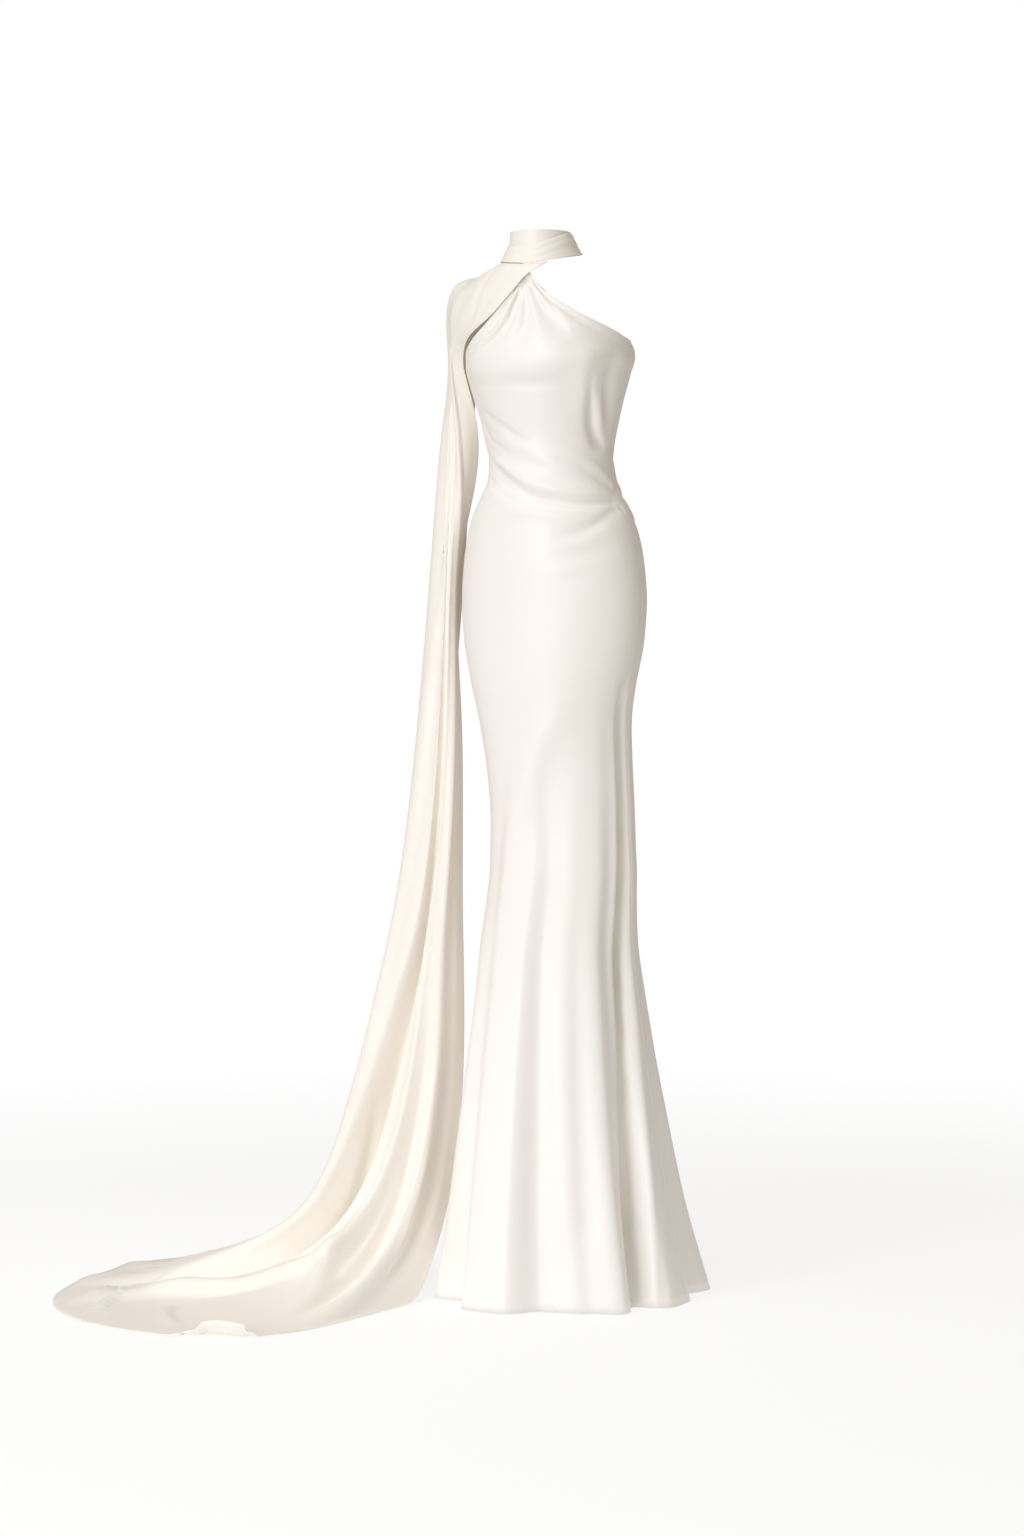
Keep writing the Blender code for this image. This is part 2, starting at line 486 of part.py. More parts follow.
def cape_smooth(shares, step):
    """The cape without its pleats: steps 0 to 1 over the shoulder, 1 to 2 down to the hem."""
    places = [row[0] for row in CAPE_SHOULDER]
    along = []
    for curve, length, marks in cape_guides():
        run = np.interp(step, (0, 1, 2), marks)
        along.append([np.interp(run, length, curve[:, axis]) for axis in range(3)])
    points = flowing(places, along, shares)
    neck_angles = np.array([row[1] for row in CAPE_SHOULDER])
    on_ring = cape_neck(flowing(places, neck_angles[:, None], shares)[:, 0])
    off_ring = flowing(places, cape_neck(neck_angles), shares)
    return points + (on_ring - off_ring) * max(0.0, 1 - step / NECK_BLEND)


def cape_normal(shares, step):
    """Direction that faces out of the smooth cape."""
    across = cape_smooth(np.clip(shares + NUDGE, 0, 1), step)
    across = across - cape_smooth(np.clip(shares - NUDGE, 0, 1), step)
    along = cape_smooth(shares, min(step + NUDGE, 2)) - cape_smooth(shares, max(step - NUDGE, 0))
    out = np.cross(across, along)
    return out / np.linalg.norm(out, axis=-1, keepdims=True)


def ease(share):
    """Soft rise from nothing at no share to one at a whole."""
    share = np.clip(share, 0, 1)
    return share * share * (3 - 2 * share)


def lay_on_front(points, shares, step):
    """Brings the cape's front edge down onto the front panel."""
    section = steady(BODY[:, 0], BODY[:, 1:], points[..., 2])
    centre_x, centre_y, half_width, front, _ = np.moveaxis(section, -1, 0)
    away = points[..., :2] - np.stack((centre_x, centre_y), -1)
    angle = np.degrees(np.arctan2(away[..., 0] / half_width, -away[..., 1] / front))
    body = body_point(angle, points[..., 2])[..., :2] - np.stack((centre_x, centre_y), -1)
    apart = np.linalg.norm(away, axis=-1)
    goal = np.linalg.norm(body, axis=-1) + LAY_HEIGHT
    strength = ease((step - LAY_COMES[0]) / (LAY_COMES[1] - LAY_COMES[0]))
    strength = strength * ease((LAY_LEAVES[1] - step) / (LAY_LEAVES[1] - LAY_LEAVES[0]))
    strength = strength * ease(1 - shares / LAY_SHARE)
    points[..., :2] += away * ((goal / apart - 1) * strength)[..., None]
    return points


def cape_surface(shares, step):
    """Outside of the cape with its pleats, kept above the floor."""
    points = cape_smooth(shares, step)
    reach = np.zeros_like(shares)
    for _, *stations in PLEATS:
        stations = np.array(stations)
        middle, half_width, depth = steady(stations[:, 0], stations[:, 1:], step)
        reach = reach + depth * bump((shares - middle) / half_width)
    points = lay_on_front(points + cape_normal(shares, step) * reach[:, None], shares, step)
    lowest = WALL + FLOOR_CLEARANCE
    points[:, 2] = np.maximum(points[:, 2], lowest)
    return points


def place(points):
    """Heights above the floor become heights above or below the neck."""
    return np.asarray(points) - (0.0, 0.0, HOLD_HEIGHT)


def wall_rows(surface, rows):
    """Outer and inner points of each row of a cloth wall."""
    last = rows[-1][0]
    outer, inner = [], []
    for step, shares in rows:
        points = surface(shares, step)
        across = surface(np.minimum(shares + NUDGE, 1), step) - surface(np.maximum(shares - NUDGE, 0), step)
        along = surface(shares, min(step + NUDGE, last)) - surface(shares, max(step - NUDGE, 0))
        out = np.cross(across, along)
        out = out / np.linalg.norm(out, axis=-1, keepdims=True)
        outer.append(place(points))
        inner.append(place(points - out * WALL))
    return outer, inner


def stitch(low, high, low_shares, high_shares):
    """Triangles between two rows of corners, each row in the order of its shares."""
    triangles = []
    a = b = 0
    while a < len(low) - 1 or b < len(high) - 1:
        if b == len(high) - 1 or (a < len(low) - 1 and low_shares[a + 1] <= high_shares[b + 1]):
            triangles.append((low[a], low[a + 1], high[b]))
            a += 1
        else:
            triangles.append((low[a], high[b + 1], high[b]))
            b += 1
    return triangles


def cloth_wall(name, surface, rows, material, closed=False):
    """One cloth piece: its outer and inner sides, joined along every edge."""
    outer, inner = wall_rows(surface, rows)
    mesh = bmesh.new()
    sides = []
    for side in (outer, inner):
        corners = []
        for points in side:
            kept = points[:-1] if closed else points
            row = [mesh.verts.new(point) for point in kept]
            corners.append(row + row[:1] if closed else row)
        sides.append(corners)
    outside, inside = sides
    for (_, low_shares), (_, high_shares), low, high, under, over in zip(
            rows, rows[1:], outside, outside[1:], inside, inside[1:]):
        for corners in stitch(low, high, low_shares, high_shares):
            mesh.faces.new(corners)
        for corners in stitch(under, over, low_shares, high_shares):
            mesh.faces.new(corners[::-1])
        if not closed:
            mesh.faces.new((low[0], high[0], over[0], under[0]))
            mesh.faces.new((high[-1], low[-1], under[-1], over[-1]))
    for k in range(len(outside[0]) - 1):
        mesh.faces.new((outside[0][k + 1], outside[0][k], inside[0][k], inside[0][k + 1]))
    for k in range(len(outside[-1]) - 1):
        mesh.faces.new((outside[-1][k], outside[-1][k + 1], inside[-1][k + 1], inside[-1][k]))
    bmesh.ops.recalc_face_normals(mesh, faces=mesh.faces[:])
    data = bpy.data.meshes.new(name)
    mesh.to_mesh(data)
    mesh.free()
    data.shade_smooth()
    data.materials.append(material)
    piece = bpy.data.objects.new(name, data)
    bpy.context.scene.collection.objects.link(piece)
    return piece


def satin(name, colour):
    """Plain satin finish."""
    material = bpy.data.materials.new(name)
    material.use_nodes = True
    shader = material.node_tree.nodes["Principled BSDF"]
    shader.inputs["Base Color"].default_value = colour
    shader.inputs["Roughness"].default_value = SATIN_ROUGHNESS
    shader.inputs["Metallic"].default_value = 0.0
    material.diffuse_color = colour
    return material


def body_steps(heights):
    """Steps up a body panel for heights above the floor."""
    return [max(height - HEM_HEIGHT, 0.0) / (UNDERARM_ROW - HEM_HEIGHT) for height in heights]


def even(count):
    """Shares at even spacing across a piece."""
    return np.linspace(0.0, 1.0, count + 1)


def front_panel():
    """The front, in one bias-cut piece from the hem to its gathered point."""
    rows = [(step, even(SKIRT_COLUMNS)) for step in body_steps(SKIRT_ROWS)]
    rows += [(step, even(TORSO_COLUMNS)) for step in body_steps(TORSO_ROWS)]
    for step in BODICE_ROWS:
        rows.append((step, even(POINT_COLUMNS if step > POINT_STEP else TORSO_COLUMNS)))
    return cloth_wall("front_panel", front_surface, rows, satin("front_satin", SATIN_COLOUR))


def back_panel(name, side):
    """Half of the back, from the hem to below the shoulder blade."""
    rows = [(step, even(BACK_SKIRT_COLUMNS)) for step in body_steps(SKIRT_ROWS)]
    rows += [(step, even(BACK_TORSO_COLUMNS)) for step in body_steps(TORSO_ROWS)]
    rows += [(step, even(BACK_TORSO_COLUMNS)) for step in BODICE_ROWS if step <= 1 + CORNER_SHARE]
    return cloth_wall(name, back_surface(side), rows, satin(name + "_satin", SATIN_COLOUR))


def neck_stand():
    """The upright band round the neck."""
    rows = [(step, even(NECK_COLUMNS)) for step in even(STAND_ROWS)]
    return cloth_wall("neck_stand", stand_surface, rows, satin("stand_satin", SATIN_COLOUR), closed=True)


def neck_wrap():
    """The scarf band wrapped over the stand."""
    rows = [(step, even(NECK_COLUMNS)) for step in even(WRAP_ROWS)]
    return cloth_wall("neck_wrap", band_surface, rows, satin("wrap_satin", CAPE_COLOUR), closed=True)


def cape_train():
    """The cape over the right shoulder, with its train."""
    steps = np.concatenate((even(SHOULDER_ROWS)[:-1], 1 + even(HANGING_ROWS)))
    rows = [(step, even(CAPE_COLUMNS)) for step in steps]
    return cloth_wall("cape_train", cape_surface, rows, satin("cape_satin", CAPE_COLOUR))


def main():
    for thing in list(bpy.data.objects):
        bpy.data.objects.remove(thing, do_unlink=True)
    front_panel()
    back_panel("back_right", -1)
    back_panel("back_left", 1)
    neck_stand()
    neck_wrap()
    cape_train()


main()
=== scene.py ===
"""Looks of the one-shoulder gown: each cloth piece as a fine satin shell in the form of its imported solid.

Metres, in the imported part's frame: +Z up, the front faces -Y, the wearer's left is +X, and the origin
is in the neck. The tables give heights above the floor, and place() brings them down to that frame.
Angles run round the body from the centre front, in degrees, towards the wearer's left.
"""
import math

import bpy
import numpy as np
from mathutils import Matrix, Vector


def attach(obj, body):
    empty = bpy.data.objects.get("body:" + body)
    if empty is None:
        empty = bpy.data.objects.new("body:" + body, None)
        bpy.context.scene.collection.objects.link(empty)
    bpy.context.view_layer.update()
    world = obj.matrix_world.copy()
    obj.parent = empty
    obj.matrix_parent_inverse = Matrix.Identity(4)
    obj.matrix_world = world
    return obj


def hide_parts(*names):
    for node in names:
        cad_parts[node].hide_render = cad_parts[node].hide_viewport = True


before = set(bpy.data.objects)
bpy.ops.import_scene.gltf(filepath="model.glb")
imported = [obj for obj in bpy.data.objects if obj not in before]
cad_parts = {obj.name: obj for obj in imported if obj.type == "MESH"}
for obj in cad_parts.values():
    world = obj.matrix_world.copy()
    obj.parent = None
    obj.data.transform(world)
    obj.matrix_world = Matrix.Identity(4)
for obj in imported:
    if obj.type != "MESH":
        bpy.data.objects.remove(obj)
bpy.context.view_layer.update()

# Driving dimensions, as in the solids
HOLD_HEIGHT = 1.6
WALL = 0.0016
SEAM_GAP = 0.0003
HEM_HEIGHT = 0.0012
UNDERARM_ROW = 1.4
FLOOR_CLEARANCE = 0.0008
SIDE_ANGLE = 90.0
BACK_ANGLE = 180.0
SHELL = 0.001

# The photograph's view, in its own frame of 1024 by 1536 pixels
FRAME_WIDTH = 1024
FRAME_HEIGHT = 1536
FOCAL_PIXELS = 3363
AXIS_COLUMN = 552
HORIZON_ROW = 694
VIEW_TURN = math.radians(27)
VIEW_DISTANCE = 5.2
EYE_HEIGHT = 0.929
SENSOR = 36.0

# Floor: half its width, and the distance from the gown where it starts to fade out
FLOOR_HALF = 3.4
FLOOR_CLEAR = 1.0

# Body sections, hem to throat: height, centre x and y, half width, half depth in front and behind
BODY = (
    (0, 0.016, 0.03, 0.19, 0.194, 0.205),
    (0.147, 0.008, 0.028, 0.168, 0.17, 0.17),
    (0.27, 0.003, 0.027, 0.153, 0.15, 0.156),
    (0.394, 0, 0.026, 0.139, 0.132, 0.138),
    (0.518, 0, 0.022, 0.126, 0.114, 0.12),
    (0.61, 0.007, 0.018, 0.119, 0.102, 0.108),
    (0.66, 0.011, 0.016, 0.117, 0.097, 0.103),
    (0.734, 0.011, 0.014, 0.1155, 0.092, 0.098),
    (0.827, 0.007, 0.009, 0.1183, 0.089, 0.094),
    (0.889, 0.003, 0.004, 0.1235, 0.09, 0.096),
    (0.951, 0.001, 0.001, 0.135, 0.093, 0.104),
    (1.012, 0.001, 0.001, 0.1465, 0.095, 0.115),
    (1.074, 0.001, 0.001, 0.1505, 0.097, 0.119),
    (1.136, 0.001, 0.001, 0.146, 0.099, 0.112),
    (1.198, 0.001, 0, 0.1325, 0.097, 0.097),
    (1.229, 0, 0, 0.118, 0.092, 0.085),
    (1.26, 0.001, 0, 0.1035, 0.087, 0.075),
    (1.291, 0, 0, 0.1, 0.086, 0.072),
    (1.322, -0.002, 0, 0.105, 0.09, 0.074),
    (1.353, -0.002, 0, 0.112, 0.096, 0.076),
    (1.384, -0.003, 0, 0.121, 0.103, 0.078),
    (1.415, -0.003, 0, 0.13, 0.111, 0.082),
    (1.446, 0, 0, 0.136, 0.113, 0.085),
    (1.48, 0, -0.002, 0.136, 0.111, 0.085),
    (1.52, 0, -0.006, 0.125, 0.102, 0.08),
    (1.55, 0, -0.012, 0.105, 0.088, 0.075),
    (1.575, 0, -0.02, 0.08, 0.075, 0.07),
    (1.6, 0, -0.03, 0.066, 0.064, 0.063),
)

# Bust cups: angle, height, half spread round and up, rise
BUST = ((-33, 1.44, 30, 0.045, 0.007), (33, 1.44, 30, 0.045, 0.007))

# Hem flutes, a row for each crest and valley: angle, reach in or out at the hem, height where it
# starts, and how late it grows
FLUTES = (
    (-160, 0.016, 0.8, 1.5),
    (-141, -0.018, 0.72, 1.5),
    (-122, 0.018, 0.8, 1.5),
    (-103, -0.016, 0.7, 1.5),
    (-86, 0.014, 0.72, 1.5),
    (-69, -0.012, 0.6, 1.5),
    (-50, 0.022, 0.62, 1.5),
    (-36, -0.01, 0.6, 1.4),
    (-20, 0.028, 0.84, 1.2),
    (-3, 0.022, 0.84, 1.2),
    (12, -0.019, 0.88, 1),
    (34, -0.006, 0.76, 1.2),
    (50, 0.014, 0.8, 1.3),
    (63, -0.012, 0.95, 1),
    (77, 0.014, 0.92, 1.2),
    (92, 0.01, 0.8, 1.4),
    (105, -0.014, 0.7, 1.5),
    (124, 0.028, 0.66, 1.5),
    (143, -0.018, 0.72, 1.5),
    (162, 0.018, 0.8, 1.5),
    (181, -0.018, 0.75, 1.5),
)

# Soft creases of the solids: angle and height at the start, middle and end, reach out, half width
CREASES = (
    ("crossing waist fold", -48, 1.282, 4, 1.232, 78, 1.22, -0.0045, 0.012),
    ("ridge over the waist fold", -40, 1.296, 8, 1.252, 76, 1.236, 0.004, 0.012),
    ("ridge under the waist fold", -40, 1.252, 8, 1.208, 72, 1.206, 0.003, 0.014),
    ("upper side drape", -60, 1.362, -28, 1.326, 8, 1.306, -0.003, 0.011),
    ("rib drape", -30, 1.33, 15, 1.29, 66, 1.246, 0.0035, 0.014),
    ("underbust", -75, 1.408, 0, 1.398, 62, 1.404, -0.0035, 0.016),
    ("bust dart", 50, 1.375, 60, 1.335, 68, 1.3, -0.003, 0.011),
    ("hip drape", 76, 1.21, 44, 1.178, 18, 1.165, -0.0025, 0.013),
    ("low hip drape", 66, 1.152, 40, 1.14, 14, 1.135, -0.0018, 0.014),
    ("side turn", 46, 1.456, 48, 1.4, 56, 1.335, 0.004, 0.016),
    ("side hollow", 68, 1.452, 69, 1.395, 79, 1.33, -0.004, 0.016),
    ("thigh ridge", 30, 0.92, -14, 0.753, -25, 0.535, 0.008, 0.024),
    ("side valley", 79, 0.95, 75, 0.42, 51, -0.25, -0.035, 0.012),
)
# Samples along a crease, the radius that turns its angles into lengths, and how late its ends taper
CREASE_SAMPLES = 90
CREASE_RADIUS = 0.115
CREASE_TAPER = 0.7

# Upper edges of the front, from the row below the arms to the point under the neck band:
# share of the way, angle and height at the cape's side, angle and height at the open shoulder
FRONT_EDGES = (
    (0, -90, 1.4, 90, 1.4),
    (0.3, -90, 1.436, 90, 1.464),
    (0.42, -74, 1.446, 76, 1.4755),
    (0.52, -60, 1.456, 64, 1.485),
    (0.62, -44, 1.472, 53, 1.4945),
    (0.72, -31, 1.49, 41.5, 1.507),
    (0.82, -20.5, 1.514, 29.5, 1.5245),
    (0.91, -12.5, 1.54, 18.5, 1.543),
    (1, -9, 1.562, 5, 1.5745),
)
# Share of the way up to which the side seams run
CORNER_SHARE = 0.3

# Gathers that run to the point: share across, half width in shares, reach out
GATHERS = (
    (0.14, 0.07, -0.0026),
    (0.22, 0.06, 0.0022),
    (0.31, 0.06, -0.004),
    (0.41, 0.07, 0.0028),
    (0.5, 0.06, -0.002),
    (0.59, 0.07, 0.0022),
    (0.7, 0.07, -0.0028),
    (0.81, 0.08, 0.002),
    (0.9, 0.06, -0.0016),
)
# Strength of the gathers up the front: share of the way to the point, strength
GATHER_REACH = ((0, 0), (0.25, 0.1), (0.55, 0.7), (0.8, 1), (0.92, 0.5), (1, 0.1))

# Upper edge of the back: angle from the centre front, height
BACK_TOP = ((-180, 1.405), (-150, 1.409), (-115, 1.424), (-90, 1.436))
BACK_TOP_LEFT = ((90, 1.464), (116, 1.44), (150, 1.412), (180, 1.405))

# Neck stand: height, radius; and the line of the neck: height, centre x and y
STAND = ((1.595, 0.055), (1.605, 0.052), (1.615, 0.0497), (1.626, 0.0474), (1.636, 0.0464))
STAND_TOP = 1.636
STAND_FOOT = ((-180, 1.618), (-70, 1.602), (0, 1.598), (70, 1.606), (180, 1.618))
NECK_LINE = ((1.585, 0, -0.034), (1.61, 0.001, -0.039), (1.64, 0.002, -0.045))
# Scarf band, round the neck: angle, height of the lower and the upper edge
BAND = (
    (-180, 1.617, 1.631),
    (-117, 1.606, 1.622),
    (-63, 1.594, 1.616),
    (-20, 1.587, 1.6135),
    (8, 1.5845, 1.6125),
    (43, 1.5905, 1.6215),
    (85, 1.598, 1.6325),
    (125, 1.606, 1.634),
    (180, 1.617, 1.631),
)
# Radius at the band's lower edge, and how late the band draws in
BAND_FOOT_RADIUS = 0.0632
BAND_ROUNDING = 0.85
# Slanting folds of the scarf band: share up at the front, rise round the neck, half width, reach out
BAND_FOLDS = ((0.34, 0.3, 0.26, 0.0007), (0.72, 0.22, 0.2, 0.0005))

# Guide lines of the cape, front edge to back edge. Share across and angle at the neck, then
# points over the shoulder, then plan points (x, y) where the line hangs and lies
CAPE_SHOULDER = (
    (0, 36, (0.011, -0.101, 1.5696), (-0.0575, -0.11, 1.505), (-0.1225, -0.064, 1.46)),
    (0.08, 2, (-0.03, -0.0955, 1.57), (-0.103, -0.089, 1.495), (-0.137, -0.058, 1.46)),
    (0.2, -26, (-0.07, -0.076, 1.577), (-0.13, -0.068, 1.513), (-0.149, -0.054, 1.46)),
    (0.32, -44, (-0.088, -0.058, 1.578), (-0.139, -0.056, 1.539), (-0.153, -0.046, 1.46)),
    (0.44, -57, (-0.096, -0.044, 1.5785), (-0.142, -0.043, 1.556), (-0.158, -0.035, 1.46)),
    (0.56, -68, (-0.101, -0.029, 1.5785), (-0.147, -0.028, 1.5695), (-0.169, -0.025, 1.46)),
    (0.66, -79, (-0.105, -0.014, 1.5785), (-0.15, -0.012, 1.5735), (-0.176, -0.011, 1.46)),
    (0.76, -92, (-0.106, 0.004, 1.5785), (-0.152, 0.01, 1.5715), (-0.183, 0.01, 1.46)),
    (0.88, -110, (-0.1, 0.022, 1.578), (-0.145, 0.038, 1.551), (-0.177, 0.038, 1.46)),
    (1, -130, (-0.078, 0.032, 1.579), (-0.124, 0.066, 1.518), (-0.154, 0.064, 1.45)),
)
# Heights of the plan points
CAPE_HEIGHTS = (1.353, 1.15, 0.9, 0.61, 0.3, 0.12, 0.04, 0.008, 0.003)
CAPE_FALL = (
    ((-0.125, -0.012), (-0.162, 0.008), (-0.163, 0.009), (-0.159, 0.006), (-0.156, -0.002),
     (-0.156, -0.058), (-0.154, -0.118), (-0.152, -0.16), (-0.152, -0.184)),
    ((-0.136, -0.026), (-0.163, -0.008), (-0.162, -0.01), (-0.161, -0.02), (-0.163, -0.04), (-0.165, -0.1),
     (-0.164, -0.18), (-0.163, -0.245), (-0.164, -0.3)),
    ((-0.149, -0.036), (-0.158, -0.03), (-0.163, -0.034), (-0.166, -0.044), (-0.178, -0.07),
     (-0.186, -0.148), (-0.19, -0.27), (-0.198, -0.4), (-0.208, -0.508)),
    ((-0.156, -0.032), (-0.166, -0.033), (-0.172, -0.038), (-0.18, -0.054), (-0.205, -0.085),
     (-0.234, -0.168), (-0.264, -0.305), (-0.3, -0.445), (-0.33, -0.56)),
    ((-0.163, -0.027), (-0.172, -0.03), (-0.18, -0.037), (-0.193, -0.057), (-0.232, -0.09),
     (-0.286, -0.163), (-0.352, -0.288), (-0.43, -0.42), (-0.5, -0.532)),
    ((-0.173, -0.02), (-0.179, -0.024), (-0.19, -0.033), (-0.208, -0.057), (-0.262, -0.09),
     (-0.326, -0.148), (-0.424, -0.248), (-0.53, -0.345), (-0.636, -0.425)),
    ((-0.185, -0.011), (-0.195, -0.016), (-0.212, -0.028), (-0.235, -0.052), (-0.296, -0.082),
     (-0.365, -0.123), (-0.49, -0.195), (-0.6, -0.255), (-0.698, -0.3)),
    ((-0.192, 0.004), (-0.211, 0.002), (-0.229, -0.004), (-0.257, -0.028), (-0.321, -0.055),
     (-0.392, -0.075), (-0.54, -0.115), (-0.64, -0.135), (-0.724, -0.145)),
    ((-0.187, 0.034), (-0.204, 0.035), (-0.226, 0.03), (-0.256, 0.014), (-0.316, -0.008), (-0.385, -0.02),
     (-0.52, -0.018), (-0.615, -0.01), (-0.7, 0)),
    ((-0.168, 0.058), (-0.184, 0.062), (-0.206, 0.062), (-0.232, 0.056), (-0.28, 0.05), (-0.34, 0.056),
     (-0.43, 0.07), (-0.5, 0.085), (-0.57, 0.098)),
)
# Station where the fall starts, depth that the neck edge is tucked in, and more of it at the front,
# samples along a guide line, and the step down to which the neck edge shapes the cape
FALL_STATION = 4
CAPE_TUCK = 0.0015
FRONT_TUCK = 0.001
GUIDE_SAMPLES = 600
NECK_BLEND = 0.3

# Where the cape's front edge lies on the front panel: steps between which it comes down to the panel,
# steps between which it leaves it, share over which it lifts off, and height of its outside over the panel
LAY_COMES = (0.05, 0.2)
LAY_LEAVES = (0.6, 0.85)
LAY_SHARE = 0.17
LAY_HEIGHT = 0.0036

# Pleats down the cape, each a row of stations: step, share across, half width in shares, reach out
PLEATS = (
    ("inner crest", (0.5, 0.19, 0.06, 0), (1, 0.19, 0.06, 0.005), (1.13, 0.13, 0.055, 0.005),
     (1.35, 0.16, 0.07, 0.007), (1.5, 0.22, 0.08, 0.01), (1.65, 0.19, 0.07, 0.014),
     (1.8, 0.19, 0.06, 0.012), (1.92, 0.2, 0.06, 0.005), (2, 0.2, 0.06, 0.003)),
    ("main valley", (0.6, 0.27, 0.06, 0), (1, 0.28, 0.055, -0.002), (1.13, 0.3, 0.065, -0.003),
     (1.31, 0.33, 0.08, -0.01), (1.44, 0.42, 0.1, -0.022), (1.55, 0.53, 0.085, -0.03),
     (1.66, 0.575, 0.07, -0.042), (1.74, 0.595, 0.064, -0.048), (1.8, 0.61, 0.06, -0.048),
     (1.85, 0.625, 0.056, -0.03), (1.9, 0.635, 0.05, -0.018), (1.95, 0.65, 0.045, -0.008),
     (2, 0.65, 0.05, 0)),
    ("wide hollow", (1.45, 0.46, 0.12, 0), (1.6, 0.47, 0.15, -0.02), (1.7, 0.48, 0.16, -0.034),
     (1.78, 0.48, 0.15, -0.036), (1.84, 0.5, 0.13, -0.018), (1.9, 0.52, 0.1, -0.004), (1.95, 0.52, 0.1, 0)),
    ("outer crest", (0.8, 0.42, 0.06, 0), (1, 0.43, 0.07, 0.004), (1.27, 0.66, 0.08, 0.001),
     (1.46, 0.71, 0.07, 0.001), (1.6, 0.7, 0.065, 0.004), (1.72, 0.685, 0.06, 0.01),
     (1.8, 0.685, 0.055, 0.008), (1.87, 0.7, 0.05, 0.01), (1.94, 0.71, 0.05, 0.008),
     (2, 0.71, 0.05, 0.003)),
    ("front valley", (1.45, 0.09, 0.05, 0), (1.65, 0.1, 0.055, -0.008), (1.8, 0.1, 0.055, -0.013),
     (1.9, 0.11, 0.05, -0.006), (1.98, 0.11, 0.05, 0)),
    ("middle valley", (1.55, 0.27, 0.05, 0), (1.68, 0.255, 0.045, -0.008), (1.8, 0.235, 0.045, -0.014),
     (1.88, 0.235, 0.04, -0.006), (1.96, 0.235, 0.04, 0)),
    ("middle crest", (1.5, 0.38, 0.06, 0), (1.65, 0.345, 0.06, 0.012), (1.72, 0.335, 0.05, 0.018),
     (1.8, 0.33, 0.045, 0.018), (1.85, 0.295, 0.045, 0.012), (1.92, 0.28, 0.045, 0.005),
     (2, 0.28, 0.045, 0.003)),
    ("lower ridge", (1.72, 0.33, 0.05, 0), (1.79, 0.34, 0.055, 0.01), (1.82, 0.42, 0.058, 0.019),
     (1.85, 0.5, 0.055, 0.02), (1.885, 0.565, 0.048, 0.015), (1.94, 0.59, 0.045, 0.008),
     (2, 0.59, 0.045, 0)),
    ("tail valley", (1.55, 0.76, 0.045, 0), (1.7, 0.75, 0.05, -0.012), (1.8, 0.74, 0.045, -0.018),
     (1.88, 0.75, 0.045, -0.012), (1.96, 0.76, 0.045, 0)),
    ("tail crest", (1.5, 0.8, 0.05, 0), (1.7, 0.81, 0.05, 0.004), (1.82, 0.81, 0.05, 0.004),
     (1.92, 0.81, 0.045, 0.006), (2, 0.81, 0.045, 0.004)),
    ("back valley", (1.05, 0.86, 0.06, 0), (1.25, 0.86, 0.06, -0.005), (1.45, 0.86, 0.06, -0.014),
     (1.7, 0.87, 0.05, -0.02), (1.82, 0.87, 0.045, -0.016), (1.92, 0.87, 0.045, -0.003),
     (1.98, 0.87, 0.045, 0)),
    ("back crest", (1.1, 0.94, 0.05, 0), (1.3, 0.94, 0.05, 0.004), (1.5, 0.93, 0.055, 0.01),
     (1.72, 0.93, 0.05, 0.016), (1.84, 0.93, 0.045, 0.012), (2, 0.93, 0.045, 0.004)),
)

